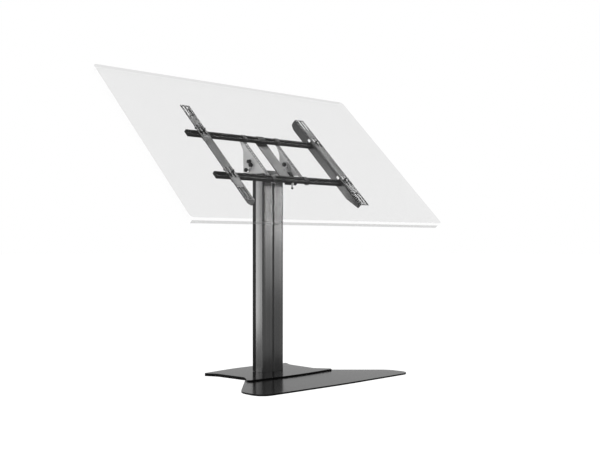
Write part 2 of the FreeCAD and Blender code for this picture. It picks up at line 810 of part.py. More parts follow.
def build_tilt_plate(side, name):
    """Folded plate: a web beside the bracket and a perforated flange behind the rails."""
    corners, radii = web_outline()
    wire = rounded_wire([(s, -depth) for s, depth in corners], radii)
    web = Part.Face(wire).extrude(Vector(0, 0, tilt_sheet))
    stand_up = FreeCAD.Rotation(AXIS_Y, AXIS_Z, AXIS_X, "ZXY")
    web.Placement = FreeCAD.Placement(Vector(0, 0, 0), stand_up)
    web.translate(Vector(tilt_plate_inner_x if side > 0 else -tilt_plate_outer_x, 0, 0))
    outer = side * tilt_plate_outer_x
    inner = side * (tilt_plate_outer_x - tilt_flange_width)
    flange = depth_block(min(outer, inner), max(outer, inner), -tilt_plate_half_length, tilt_plate_half_length,
                         rail_back_depth, flange_back_depth)
    body = web.fuse(flange)
    centre_x = side * tilt_flange_centre()
    tools = []
    span = (perforation_count - 1) * perforation_pitch / 2
    through = tilt_sheet + 2 * cut_over
    half_x = perforation_width / 2
    half_s = perforation_length / 2
    for i in range(perforation_count):
        along = -span + i * perforation_pitch
        if abs(abs(along) - rail_along) > rail_height / 2 + half_s:
            tools.append(depth_block(centre_x - half_x, centre_x + half_x, along - half_s, along + half_s,
                                     rail_back_depth - cut_over, flange_back_depth + cut_over))
    for x, along in rail_screw_places(centre_x):
        tools.append(peg(rail_screw_diameter, through, Vector(x, along, -flange_back_depth - cut_over), AXIS_Z))
    web_start = side * (tilt_plate_inner_x - cut_over)
    pivot_bore = pivot_diameter + 2 * pivot_running
    tools.append(rod(pivot_bore, through, Vector(web_start, pivot_along, -pivot_depth), AXIS_X * side))
    placed = to_head(body.cut(group(tools)))
    stud_hole = peg_around(clamp_stud_diameter + 2 * clamp_running, through,
                           about_pivot(clamp_radius, clamp_angle, web_start), AXIS_X * side)
    placed = placed.cut(stud_hole)
    if side < 0:
        placed = placed.cut(peg(plunger_neck_diameter, through, about_pivot(index_radius, index_angle, web_start),
                                AXIS_X * side))
    save(name, placed.removeSplitter())


def build_spacers():
    """Rings on the pivots that keep the webs off the ears."""
    rings = []
    for side in (-1, 1):
        start = Vector(side * (tilt_plate_inner_x - spacer_thickness), pivot_back, pivot_height)
        ring = peg(spacer_outer, spacer_thickness, start, AXIS_X * side)
        bore = peg_around(pivot_diameter + 2 * pivot_running, spacer_thickness, start, AXIS_X * side)
        rings.append(ring.cut(bore))
    save("pivot_spacers", group(rings))


def rail_bar(along):
    """One rail: a flat bar with a slot in its face and a groove in each edge."""
    half = rail_height / 2
    low = along - half
    high = along + half
    left = rail_side_offset - rail_half_length
    right = rail_side_offset + rail_half_length
    body = depth_block(left, right, low, high, rail_front_depth, rail_back_depth)
    left -= cut_over
    right += cut_over
    slot = depth_block(left, right, along - rail_slot_opening / 2, along + rail_slot_opening / 2,
                       rail_front_depth - cut_over, rail_front_depth + rail_slot_lip + fit_gap)
    cavity = depth_block(left, right, along - rail_slot_width / 2, along + rail_slot_width / 2,
                         rail_front_depth + rail_slot_lip, rail_front_depth + rail_slot_lip + rail_slot_depth)
    middle = (rail_front_depth + rail_back_depth) / 2
    grooves = []
    for edge_along, into in ((low, 1), (high, -1)):
        near = edge_along - into * cut_over
        far = edge_along + into * rail_side_groove_depth
        grooves.append(depth_block(left, right, min(near, far), max(near, far),
                                   middle - rail_side_groove / 2, middle + rail_side_groove / 2))
    return body.cut(group([slot, cavity] + grooves))


def build_rails():
    """Upper and lower rail, their end caps and the screws that hold the plates to them."""
    screws_x = [side * tilt_flange_centre() for side in (-1, 1)] + [-brace_screw_x, brace_screw_x]
    screws = []
    for x in screws_x:
        for _, along in rail_screw_places(x):
            seat = Vector(x, along, -flange_back_depth)
            screws.append(screw(rail_screw_diameter, rail_screw_length, rail_screw_head, rail_screw_head_height,
                                seat, AXIS_Z))
    holes = [peg(rail_screw_diameter, rail_screw_length - tilt_sheet, Vector(x, along, -rail_back_depth), AXIS_Z)
             for x in screws_x for _, along in rail_screw_places(x)]
    for side, name in ((1, "upper_rail"), (-1, "lower_rail")):
        body = rail_bar(side * rail_along)
        save(name, to_head(body.cut(group(holes))))
    save("rail_screws", to_head(group(screws)))
    caps = []
    for along in (-rail_along, rail_along):
        for side in (-1, 1):
            caps.append(to_head(rail_cap(along, side)))
    save("rail_end_caps", group(caps))


def rail_cap(along, side):
    """Bevelled end cap with a plug that fits the rail's slot."""
    half = rail_height / 2
    near = rail_side_offset + side * rail_half_length
    far = near + side * rail_cap_thickness
    face = depth_block(min(near, far), max(near, far), along - half, along + half,
                       rail_front_depth, rail_back_depth)
    outer_edges = [e for e in face.Edges
                   if abs(e.BoundBox.XMin - far) < fit_gap and abs(e.BoundBox.XMax - far) < fit_gap]
    face = face.makeChamfer(rail_cap_chamfer, outer_edges)
    inside = near - side * rail_cap_plug_length
    plug_half = rail_slot_width / 2 - rail_cap_plug_gap
    plug_near = rail_front_depth + rail_slot_lip + rail_cap_plug_gap
    plug_far = rail_front_depth + rail_slot_lip + rail_slot_depth - rail_cap_plug_gap
    plug = depth_block(min(near, inside), max(near, inside), along - plug_half, along + plug_half,
                       plug_near, plug_far)
    return face.fuse(plug)


def build_brace():
    """Flat centre plate behind the rails, ending at the lower rail's lower edge."""
    top = tilt_plate_half_length
    low = -rail_along - rail_height / 2
    half = brace_half_width
    small = brace_end_chamfer
    corners = [(half, top - small), (half - small, top), (small - half, top), (-half, top - small),
               (-half, low), (half, low)]
    body = plate(corners, [0] * len(corners), -flange_back_depth, tilt_sheet)
    through = tilt_sheet + 2 * cut_over
    holes = [peg(rail_screw_diameter, through, Vector(x, along, -flange_back_depth - cut_over), AXIS_Z)
             for x in (-brace_screw_x, brace_screw_x) for _, along in rail_screw_places(x)]
    save("centre_brace_plate", to_head(body.cut(group(holes))))


def build_stop():
    """Block under the middle of the lower rail with a soft-tipped post that meets the column."""
    low = -rail_along - rail_height / 2
    body = depth_block(-stop_block_half_width, stop_block_half_width, low - stop_block_drop, low,
                       stop_block_front, stop_block_back)
    edges = [e for e in body.Edges
             if e.BoundBox.XLength > stop_block_half_width and e.BoundBox.YMax < low - stop_block_chamfer]
    body = to_head(body.makeChamfer(stop_block_chamfer, edges))
    seat = HEAD.multVec(Vector(post_x, low - stop_block_drop, -post_depth))
    down = AXIS_Z * -1
    buried = peg(post_diameter, stop_block_drop, seat, AXIS_Z)
    collar = peg(post_collar_diameter, 2 * post_collar_height, seat + AXIS_Z * post_collar_height, down)
    post = peg(post_diameter, post_length, seat, down).fuse(buried).fuse(collar).cut(body)
    post = max(post.Solids, key=lambda solid: solid.Volume)
    save("stop_block", body)
    save("stop_post", post)
    tip_start = seat + down * post_length
    tip = peg(post_tip_diameter, post_tip_length, tip_start, down)
    end = [e for e in tip.Edges if abs(e.BoundBox.ZMax - (tip_start.z - post_tip_length)) < fit_gap]
    save("stop_tip", tip.makeChamfer(post_tip_chamfer, end))


def build_cable_clip():
    """C-shaped cable clip on the right edge of the centre plate, above the lower rail."""
    near = brace_half_width
    far = near + clip_reach
    front = rail_back_depth - clip_wall
    back = front + clip_inside + 2 * clip_wall
    outer = depth_block(near, far, clip_along - clip_length / 2, clip_along + clip_length / 2, front, back)
    long_edges = [e for e in outer.Edges
                  if e.BoundBox.YLength > clip_length / 2 and e.BoundBox.XMin > far - clip_wall]
    outer = outer.makeChamfer(clip_chamfer, long_edges)
    inside = depth_block(near + clip_wall, far - clip_wall, clip_along - clip_length, clip_along + clip_length,
                         front + clip_wall, back - clip_wall)
    mouth = depth_block(near + 2 * clip_wall, far - 2 * clip_wall, clip_along - clip_length,
                        clip_along + clip_length, back - 2 * clip_wall, back + cut_over)
    save("cable_clip", to_head(outer.cut(inside).cut(mouth)))


# Arms, clamps and screen

def slot_tool(x, along, length, width, depth0, depth1):
    """Long slot with round ends, cut along the arm."""
    half = length / 2 - width / 2
    body = depth_block(x - width / 2, x + width / 2, along - half, along + half, depth0, depth1)
    ends = [peg(width, depth1 - depth0, Vector(x, along + shift, -depth1), AXIS_Z) for shift in (-half, half)]
    return body.multiFuse(ends)


def arm_flange_outline():
    """Side view of the arm's flange as (along, depth): both ends tapered, each its own way."""
    end = arm_half_length
    return [
        (-end, 0), (end, 0), (end, arm_depth - arm_end_short_drop),
        (end - arm_end_short_taper, arm_depth), (-end + arm_end_long_taper, arm_depth),
        (-end, arm_depth - arm_end_long_drop),
    ], [0, 0, arm_end_radius, arm_taper_radius, arm_taper_radius, arm_end_radius]


def arm_body():
    """Right arm in head coordinates: folded sheet with slots and windows for the rails."""
    face = depth_block(arm_inner_x, arm_outer_x, -arm_half_length, arm_half_length, 0, arm_sheet)
    outline, radii = arm_flange_outline()
    wire = rounded_wire([(s, -depth) for s, depth in outline], radii)
    flange = Part.Face(wire).extrude(Vector(0, 0, arm_sheet))
    stand_up = FreeCAD.Rotation(AXIS_Y, AXIS_Z, AXIS_X, "ZXY")
    flange.Placement = FreeCAD.Placement(Vector(arm_inner_x, 0, 0), stand_up)
    body = face.fuse(flange).removeSplitter()
    outer_bend = [e for e in body.Edges
                  if abs(e.BoundBox.XMax - arm_inner_x) < fit_gap and abs(e.BoundBox.ZMin) < fit_gap
                  and e.BoundBox.YLength > arm_half_length]
    body = body.makeFillet(arm_bend_radius, outer_bend)
    inner_bend = [e for e in body.Edges
                  if abs(e.BoundBox.XMin - arm_inner_x - arm_sheet) < fit_gap
                  and abs(e.BoundBox.ZMin + arm_sheet) < fit_gap and e.BoundBox.YLength > arm_half_length]
    body = body.makeFillet(arm_bend_inside, inner_bend)
    tools = []
    for x in (arm_slot_inner_x, arm_slot_outer_x):
        for side in (-1, 1):
            tools.append(slot_tool(x, side * arm_slot_far_along, arm_slot_far_length, arm_slot_width,
                                   -cut_over, arm_sheet + cut_over))
            tools.append(slot_tool(x, side * arm_slot_near_along, arm_slot_near_length, arm_slot_width,
                                   -cut_over, arm_sheet + cut_over))
    for side in (-1, 1):
        low = side * rail_along - rail_height / 2 - slide_gap
        high = side * rail_along + rail_height / 2 + slide_gap
        inner = arm_inner_x - cut_over
        outer = arm_inner_x + arm_sheet + arm_bend_inside + cut_over
        tools.append(depth_block(inner, outer, low, high, rail_front_depth - fit_gap,
                                 rail_back_depth + slide_gap))
        tools.append(depth_block(inner, outer, high - cut_over, high + arm_relief, arm_relief_front,
                                 rail_front_depth + arm_relief_overlap))
    return body.cut(group(tools))


def clamp_screw_places():
    """Screws of the arm clamps for one arm, as (x, along)."""
    return [(arm_clamp_x, side * rail_along + shift) for side in (-1, 1)
            for shift in (-clamp_screw_reach, clamp_screw_reach)]


def clamp_plate(along):
    """Plate behind a rail that pulls the arm onto it."""
    near = rail_back_depth + slide_gap
    half = clamp_plate_half_width
    body = depth_block(arm_clamp_x - half, arm_clamp_x + half, along - clamp_plate_reach,
                       along + clamp_plate_reach, near, near + clamp_plate_thickness)
    bores = [peg(clamp_screw_diameter, clamp_plate_thickness, Vector(arm_clamp_x, along + shift,
             -near - clamp_plate_thickness), AXIS_Z) for shift in (-clamp_screw_reach, clamp_screw_reach)]
    return body.cut(group(bores))


def build_arms():
    """Two equal arms, the left one turned end for end, with their clamps."""
    screw_holes = group([peg(clamp_screw_diameter, arm_sheet + 2 * cut_over,
                             Vector(x, along, -arm_sheet - cut_over), AXIS_Z) for x, along in clamp_screw_places()])
    right = arm_body().cut(screw_holes)
    clamps = [clamp_plate(side * rail_along) for side in (-1, 1)]
    seat_depth = rail_back_depth + slide_gap + clamp_plate_thickness
    screws = [screw(clamp_screw_diameter, seat_depth - fit_gap, clamp_screw_head, clamp_screw_head_height,
                    Vector(x, along, -seat_depth), AXIS_Z)
              for x, along in clamp_screw_places()]

    def turned(shape):
        copy = shape.copy()
        copy.rotate(Vector(0, 0, 0), AXIS_Z, 180)
        return copy

    save("right_screen_arm", to_head(right))
    save("left_screen_arm", to_head(turned(right)))
    save("arm_clamp_plates", to_head(group(clamps + [turned(c) for c in clamps])))
    save("arm_clamp_screws", to_head(group(screws + [turned(s) for s in screws])))


def screen_screw_places():
    """Screws that hold the screen on the arms: inner slots, in front of the rails."""
    return [(side * arm_slot_inner_x, level * rail_along) for side in (-1, 1) for level in (-1, 1)]


def screen_slab(width, height, thickness, bottom):
    """Slab with rounded corners and softened edges."""
    half_w = width / 2
    half_h = height / 2
    corners = [(half_w, screen_offset + half_h), (-half_w, screen_offset + half_h),
               (-half_w, screen_offset - half_h), (half_w, screen_offset - half_h)]
    return plate(corners, [screen_corner_radius] * 4, bottom, thickness)


def build_screen():
    """Front slab, back slab and the screws that go through the arms into it."""
    front = screen_slab(screen_width, screen_height, screen_front_thickness, screen_back_thickness)
    rim = [e for e in front.Edges if abs(e.BoundBox.ZMin - e.BoundBox.ZMax) < fit_gap]
    front = front.makeChamfer(screen_edge_chamfer, rim)
    back = screen_slab(screen_width - 2 * screen_back_inset, screen_height - 2 * screen_back_inset,
                       screen_back_thickness, 0)
    rim = [e for e in back.Edges if abs(e.BoundBox.ZMin) < fit_gap and abs(e.BoundBox.ZMax) < fit_gap]
    back = back.makeChamfer(screen_edge_chamfer, rim)
    seat_depth = arm_sheet + screen_screw_washer_thickness
    holes = []
    screws = []
    for x, along in screen_screw_places():
        seat = Vector(x, along, -seat_depth)
        holes.append(peg(screen_screw_diameter, screen_screw_length, seat, AXIS_Z))
        body = screw(screen_screw_diameter, screen_screw_length, screen_screw_head, screen_screw_head_height,
                     seat, AXIS_Z)
        screws.append(body.fuse(peg(screen_screw_washer, screen_screw_washer_thickness, seat, AXIS_Z)))
    save("screen_front_slab", to_head(front))
    save("screen_back_slab", to_head(back.cut(group(holes))))
    save("screen_screws", to_head(group(screws)))


build_base()
build_column()
build_bracket()
build_pivots()
build_clamps()
build_plunger()
build_tilt_plate(-1, "left_tilt_plate")
build_tilt_plate(1, "right_tilt_plate")
build_spacers()
build_rails()
build_brace()
build_stop()
build_cable_clip()
build_arms()
build_screen()
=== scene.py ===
"""Display stand: looks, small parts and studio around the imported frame.

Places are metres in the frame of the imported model: origin on the floor under the column's
axis, +X to the screen's right as seen from the front, +Y to the back, +Z up. Sizes of the
small parts are millimetres, unless they are multiplied by MM. At rest the head leans at 45
degrees.
"""
from __future__ import annotations

import logging
import math
from collections.abc import Iterable, Mapping, Sequence
from dataclasses import dataclass, field, replace
from enum import Enum

import bmesh
import bpy
from mathutils import Matrix, Vector

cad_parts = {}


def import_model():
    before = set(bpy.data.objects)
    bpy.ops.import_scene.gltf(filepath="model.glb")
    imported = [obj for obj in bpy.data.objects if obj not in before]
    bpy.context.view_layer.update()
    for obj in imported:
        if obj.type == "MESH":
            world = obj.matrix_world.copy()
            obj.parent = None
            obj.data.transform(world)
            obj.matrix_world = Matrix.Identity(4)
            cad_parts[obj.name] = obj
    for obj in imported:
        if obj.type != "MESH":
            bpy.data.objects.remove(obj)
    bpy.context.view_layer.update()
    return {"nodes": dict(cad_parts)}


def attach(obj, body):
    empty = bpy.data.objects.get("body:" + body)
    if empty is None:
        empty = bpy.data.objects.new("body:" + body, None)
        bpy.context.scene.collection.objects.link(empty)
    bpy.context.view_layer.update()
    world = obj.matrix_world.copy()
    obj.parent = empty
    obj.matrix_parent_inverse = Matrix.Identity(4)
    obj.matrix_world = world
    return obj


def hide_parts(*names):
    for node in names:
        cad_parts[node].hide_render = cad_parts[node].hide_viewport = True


# Inset and rise of each ring of a rounded rim, in millimetres
Profile = tuple[tuple[float, float], ...]

LOG = logging.getLogger("display_stand")
MM = 0.001
UP = Vector((0.0, 0.0, 1.0))
AXIS_X = Vector((1.0, 0.0, 0.0))
AXIS_Y = Vector((0.0, 1.0, 0.0))

# Moulded sections
LOBES = 6
LOBE_DEPTH = 0.07
RIBS = 24
RIB_DEPTH = 0.03
ROUND_SHARE = 0.3

# Edges and shading
SAME_POINT = 0.002 * MM
WELD_REACH = 0.005 * MM
BROKEN_ANGLE = math.radians(40.0)
BROKEN_STEPS = 2
CREASE_ANGLE = math.radians(32.0)
FLAT_FACE_WEIGHT = 100


class Body(str, Enum):
    """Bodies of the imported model."""

    STAND = "stand"
    HEAD = "tilting_head"
    LEFT_CLAMP = "left_clamp"
    RIGHT_CLAMP = "right_clamp"
    PLUNGER = "index_plunger"
    CARRIER = "screen_carrier"


class Section(Enum):
    """Cross-section of a turned or moulded ring."""

    ROUND = "round"
    HEXAGON = "hexagon"
    LOBED = "lobed"
    RIBBED = "ribbed"


class Wire:
    """One socket of a shader graph, with arithmetic written as Python."""

    def __init__(self, graph: Graph, socket: bpy.types.NodeSocket) -> None:
        """Keep the socket and the graph it belongs to."""
        self.graph = graph
        self.socket = socket

    def _maths(self, operation: str, first: Wire | float, second: Wire | float) -> Wire:
        """Add a Math node.

        Args:
            operation: Name of the Math operation.
            first: First value.
            second: Second value.

        Returns:
            The result's socket.
        """
        return self.graph.node("ShaderNodeMath", {"operation": operation}, {0: first, 1: second})

    def __add__(self, other: Wire | float) -> Wire:
        """Sum."""
        return self._maths("ADD", self, other)

    def __radd__(self, other: Wire | float) -> Wire:
        """Sum, reflected."""
        return self._maths("ADD", other, self)

    def __sub__(self, other: Wire | float) -> Wire:
        """Difference."""
        return self._maths("SUBTRACT", self, other)

    def __rsub__(self, other: Wire | float) -> Wire:
        """Difference, reflected."""
        return self._maths("SUBTRACT", other, self)

    def __mul__(self, other: Wire | float) -> Wire:
        """Product."""
        return self._maths("MULTIPLY", self, other)

    def __rmul__(self, other: Wire | float) -> Wire:
        """Product, reflected."""
        return self._maths("MULTIPLY", other, self)

    def top(self, other: Wire | float) -> Wire:
        """Larger of two values."""
        return self._maths("MAXIMUM", self, other)

    def above(self, other: Wire | float) -> Wire:
        """One where this value is larger, else zero."""
        return self._maths("GREATER_THAN", self, other)

    def ramp(self, low: float, high: float) -> Wire:
        """Smooth step between two values of this socket.

        Args:
            low: Value that gives zero.
            high: Value that gives one.

        Returns:
            The step's socket.
        """
        settings = {"interpolation_type": "SMOOTHSTEP"}
        return self.graph.node("ShaderNodeMapRange", settings, {0: self, 1: low, 2: high})


class Graph:
    """Node tree of one material or world, with one way of adding a node."""

    def __init__(self, tree: bpy.types.NodeTree) -> None:
        """Start with an empty tree."""
        self.tree = tree
        self.tree.nodes.clear()

    def node(self, kind: str, settings: Mapping | None = None, inputs: Mapping | None = None,
             output: int | str = 0) -> Wire:
        """Add a node.

        Args:
            kind: Type of the node.
            settings: Properties that are set first.
            inputs: Values or wires of its sockets.
            output: Socket that is returned.

        Returns:
            The chosen output.
        """
        made = self.tree.nodes.new(kind)
        for key, value in (settings or {}).items():
            setattr(made, key, value)
        for key, value in (inputs or {}).items():
            if isinstance(value, Wire):
                self.tree.links.new(value.socket, made.inputs[key])
            else:
                made.inputs[key].default_value = value
        return Wire(self, made.outputs[output])

    def sink(self, kind: str, inputs: Mapping) -> None:
        """Add an output node.

        Args:
            kind: Type of the node.
            inputs: Wires of its sockets.
        """
        made = self.tree.nodes.new(kind)
        for key, value in inputs.items():
            self.tree.links.new(value.socket, made.inputs[key])

    def noise(self, scale: float, detail: float, stretch: Sequence[float] = (1.0, 1.0, 1.0)) -> Wire:
        """Noise between zero and one, on object coordinates.

        Args:
            scale: Cells per metre.
            detail: Octaves.
            stretch: Factor along each axis.

        Returns:
            The noise value's socket.
        """
        where = self.node("ShaderNodeTexCoord", output="Object")
        place = self.node("ShaderNodeMapping", inputs={"Vector": where, "Scale": tuple(stretch)})
        inputs = {"Vector": place, "Scale": scale, "Detail": detail}
        return self.node("ShaderNodeTexNoise", inputs=inputs)

    def reach(self, direction: Vector) -> Wire:
        """Object coordinates measured along a direction.

        Args:
            direction: Unit direction.

        Returns:
            The distance's socket.
        """
        where = self.node("ShaderNodeTexCoord", output="Object")
        settings = {"operation": "DOT_PRODUCT"}
        return self.node("ShaderNodeVectorMath", settings, {0: where, 1: tuple(direction)}, "Value")

    def tint(self, mask: Wire, first: Sequence[float], second: Sequence[float]) -> Wire:
        """Mix of two colours.

        Args:
            mask: Share of the second colour.
            first: Colour where the mask is zero.
            second: Colour where the mask is one.

        Returns:
            The colour's socket.
        """
        settings = {"data_type": "RGBA"}
        return self.node("ShaderNodeMix", settings, {0: mask, 6: tuple(first), 7: tuple(second)}, 2)

    def seen(self) -> Wire:
        """Mask of the rays that look at the surroundings.

        Returns:
            One for rays from the camera, from a reflection or through glass, else zero.
        """
        path = self.tree.nodes.new("ShaderNodeLightPath")
        views = [Wire(self, path.outputs[name]) for name in
                 ("Is Camera Ray", "Is Glossy Ray", "Is Transmission Ray")]
        return views[0].top(views[1]).top(views[2])


def grey(level: float) -> tuple[float, float, float, float]:
    """Neutral colour of a level."""
    return (level, level, level, 1.0)


@dataclass(frozen=True)
class Finish:
    """What every finish has: a name, the record's slot and how its colour and gloss vary."""

    name: str
    slot: str
    low: float
    high: float
    roughness: float
    roughness_spread: float = 0.08

    def surface(self, graph: Graph) -> dict:
        """Sockets of the Principled shader that this finish sets.

        Args:
            graph: Graph that the nodes go into.

        Returns:
            Values and wires by socket name.
        """
        raise NotImplementedError

    def colour(self, graph: Graph, mask: Wire) -> Wire:
        """Colour between the finish's low and high grey."""
        return graph.tint(mask, grey(self.low), grey(self.high))

    def rough(self, noise: Wire) -> Wire:
        """Roughness that varies about its middle with a noise."""
        return self.roughness + self.roughness_spread * (noise - 0.5)

    def cloud(self, graph: Graph, scale: float, detail: float) -> Wire:
        """Soft patches of colour.

        Args:
            graph: Graph that the nodes go into.
            scale: Patches per metre.
            detail: Octaves.

        Returns:
            Mask between zero and one.
        """
        return graph.noise(scale, detail).ramp(low=0.3, high=0.7)

    def bump(self, graph: Graph, height: Wire, strength: float, distance: float) -> Wire:
        """Bump from a height.

        Args:
            graph: Graph that the nodes go into.
            height: Height between zero and one.
            strength: Strength of the bump.
            distance: Height of one unit in metres.

        Returns:
            The normal's socket.
        """
        inputs = {"Strength": strength, "Distance": distance, "Height": height}
        return graph.node("ShaderNodeBump", inputs=inputs)

    def material(self) -> bpy.types.Material:
        """Make the material, or find it where it is made already.

        Returns:
            The material.
        """
        made = bpy.data.materials.get(self.name)
        if made is None:
            made = bpy.data.materials.new(self.name)
            made.use_nodes = True
            graph = Graph(made.node_tree)
            shader = graph.node("ShaderNodeBsdfPrincipled", inputs=self.surface(graph))
            graph.sink("ShaderNodeOutputMaterial", {"Surface": shader})
        return made


@dataclass(frozen=True)
class PowderCoat(Finish):
    """Baked powder coat: fine orange peel, faint patches and a satin gloss."""

    patch_scale: float = 9.0
    peel_scale: float = 620.0
    peel_depth: float = 0.05 * MM
    peel_strength: float = 0.04
    speck_scale: float = 2100.0
    speck_share: float = 0.4
    index: float = 1.5

    def surface(self, graph: Graph) -> dict:
        """Sockets of a powder coat.

        Args:
            graph: Graph that the nodes go into.

        Returns:
            Values and wires by socket name.
        """
        patches = self.cloud(graph, self.patch_scale, detail=3.0)
        peel = graph.noise(self.peel_scale, detail=2.0)
        speck = graph.noise(self.speck_scale, detail=1.0).ramp(low=0.55, high=0.75)
        mask = patches * (1.0 - self.speck_share) + speck * self.speck_share
        return {"Base Color": self.colour(graph, mask), "Roughness": self.rough(peel), "IOR": self.index,
                "Normal": self.bump(graph, peel, self.peel_strength, self.peel_depth)}


@dataclass(frozen=True)
class DrawnAluminium(Finish):
    """Dark anodised extrusion: fine die lines along its length."""

    along: tuple[float, float, float] = (1.0, 1.0, 0.004)
    metallic: float = 0.9
    gloss: float = 0.5
    line_scale: float = 900.0
    line_depth: float = 0.03 * MM
    line_strength: float = 0.04
    band_scale: float = 160.0
    band_share: float = 0.5

    def surface(self, graph: Graph) -> dict:
        """Sockets of a drawn and anodised surface.

        Args:
            graph: Graph that the nodes go into.

        Returns:
            Values and wires by socket name.
        """
        lines = graph.noise(self.line_scale, 3.0, self.along)
        bands = graph.noise(self.band_scale, 1.0, self.along).ramp(low=0.35, high=0.65)
        mask = lines * (1.0 - self.band_share) + bands * self.band_share
        return {"Base Color": self.colour(graph, mask), "Roughness": self.rough(lines),
                "Metallic": self.metallic, "Specular IOR Level": self.gloss,
                "Normal": self.bump(graph, lines, self.line_strength, self.line_depth)}


@dataclass(frozen=True)
class PlatedSteel(Finish):
    """Bright or blackened plating on small machined parts."""

    metallic: float = 0.9
    gloss: float = 0.5
    film_scale: float = 60.0
    turned_scale: float = 700.0
    turned_depth: float = 0.03 * MM
    turned_strength: float = 0.15

    def surface(self, graph: Graph) -> dict:
        """Sockets of a plated surface.

        Args:
            graph: Graph that the nodes go into.

        Returns:
            Values and wires by socket name.
        """
        marks = graph.noise(self.turned_scale, detail=2.0)
        film = self.cloud(graph, self.film_scale, detail=2.0)
        return {"Base Color": self.colour(graph, film), "Roughness": self.rough(marks),
                "Metallic": self.metallic, "Specular IOR Level": self.gloss,
                "Normal": self.bump(graph, marks, self.turned_strength, self.turned_depth)}


@dataclass(frozen=True)
class MouldedPlastic(Finish):
    """Fine matt mould texture."""

    haze_scale: float = 24.0
    pit_scale: float = 1500.0
    pit_depth: float = 0.06 * MM
    pit_strength: float = 0.4
    index: float = 1.3

    def surface(self, graph: Graph) -> dict:
        """Sockets of a moulded surface.

        Args:
            graph: Graph that the nodes go into.

        Returns:
            Values and wires by socket name.
        """
        pits = graph.noise(self.pit_scale, detail=1.0)
        haze = self.cloud(graph, self.haze_scale, detail=2.0)
        return {"Base Color": self.colour(graph, haze), "Roughness": self.rough(haze), "IOR": self.index,
                "Normal": self.bump(graph, pits, self.pit_strength, self.pit_depth)}


@dataclass(frozen=True)
class SeeThroughSlab(Finish):
    """Faint slab that shows what stands behind it, with its face and rims of their own strength. The back
    slab's nearly opaque grey bottom rim is painted shade on the screen's lower edge.
    """

    face_alpha: float = 0.1
    top_alpha: float = 0.1
    bottom_alpha: float = 0.02
    rest_alpha: float = 0.02
    face_level: float = 0.0
    top_level: float = 0.0
    bottom_level: float = 0.0
    haze_scale: float = 3.0

    def fitted(self, solid: Solid, margin: float) -> SeeThroughSlab:
        """The same finish with its levels taken from a slab.

        Args:
            solid: The slab.
            margin: How far inside the surface the levels lie.

        Returns:
            The fitted finish.
        """
        low, high = solid.span(HEAD.along())
        front = solid.span(HEAD.normal())[1]
        return replace(self, face_level=front - margin, top_level=high - margin, bottom_level=low + margin)

    def surface(self, graph: Graph) -> dict:
        """Sockets of the faint slab.

        Args:
            graph: Graph that the nodes go into.

        Returns:
            Values and wires by socket name.
        """
        up = graph.reach(HEAD.along())
        face = graph.reach(HEAD.normal()).above(self.face_level)
        top = up.above(self.top_level) * (1.0 - face)
        # Where bottom_alpha is high, the lower rim shows as a grey band of painted shade.
        bottom = (up * -1.0).above(-self.bottom_level) * (1.0 - face)
        alpha = self.rest_alpha + face * (self.face_alpha - self.rest_alpha)
        alpha = alpha + top * (self.top_alpha - self.rest_alpha)
        alpha = alpha + bottom * (self.bottom_alpha - self.rest_alpha)
        haze = self.cloud(graph, self.haze_scale, detail=1.0)
        return {"Base Color": self.colour(graph, haze), "Roughness": self.rough(haze),
                "Specular IOR Level": 0.0, "Alpha": alpha}


BLACK_COAT = PowderCoat("satin_black_powder_coat", "black_steel", low=0.004, high=0.007, roughness=0.18,
                        roughness_spread=0.04, index=1.10)
BRACE_COAT = PowderCoat("matt_black_powder_coat", "grey_steel", low=0.005, high=0.008, roughness=0.30,
                        index=1.46)
ARM_COAT = PowderCoat("semi_gloss_powder_coat", "grey_steel", low=0.004, high=0.007, roughness=0.30,
                      peel_strength=0.0, index=1.53)
LIGHT_COAT = PowderCoat("light_grey_powder_coat", "light_steel", low=0.38, high=0.43, roughness=0.6,
                        index=1.25)
COLUMN_METAL = DrawnAluminium("dark_anodised_column", "dark_aluminium", low=0.047, high=0.073,
                              roughness=0.24, roughness_spread=0.05)
RAIL_METAL = DrawnAluminium("black_anodised_rail", "dark_aluminium", low=0.003, high=0.008,
                            roughness=0.36, roughness_spread=0.1, along=(0.004, 1.0, 1.0),
                            metallic=0.0, gloss=0.05)
ZINC = PlatedSteel("zinc_plating", "zinc_steel", low=0.42, high=0.55, roughness=0.38)
BLACK_OXIDE = PlatedSteel("black_oxide", "dark_screws", low=0.004, high=0.010, roughness=0.45,
                          metallic=0.0, gloss=0.2)
PLASTIC = MouldedPlastic("matt_black_plastic", "black_plastic", low=0.004, high=0.008, roughness=0.5,
                         index=1.12)
RUBBER = MouldedPlastic("soft_rubber", "soft_rubber", low=0.002, high=0.004, roughness=0.78, index=1.03)
SLAB_FRONT = SeeThroughSlab("see_through_front", "screen_front", low=0.14, high=0.16, roughness=0.35,
                            face_alpha=0.18, top_alpha=0.08, bottom_alpha=0.006, rest_alpha=0.004)
# The back slab's high bottom alpha paints a grey band of shade along the screen's lower edge.
SLAB_BACK = SeeThroughSlab("see_through_back", "screen_back", low=0.23, high=0.25, roughness=0.35,
                           face_alpha=0.004, top_alpha=0.02, bottom_alpha=0.37, rest_alpha=0.004)


def wear(piece: bpy.types.Object, finish: Finish) -> bpy.types.Object:
    """Give a piece its finish.

    Args:
        piece: Any mesh object.
        finish: Finish of the whole piece.

    Returns:
        The same piece.
    """
    material = finish.material()
    if not piece.material_slots:
        piece.data.materials.append(material)
    for slot in piece.material_slots:
        slot.material = material
    return piece


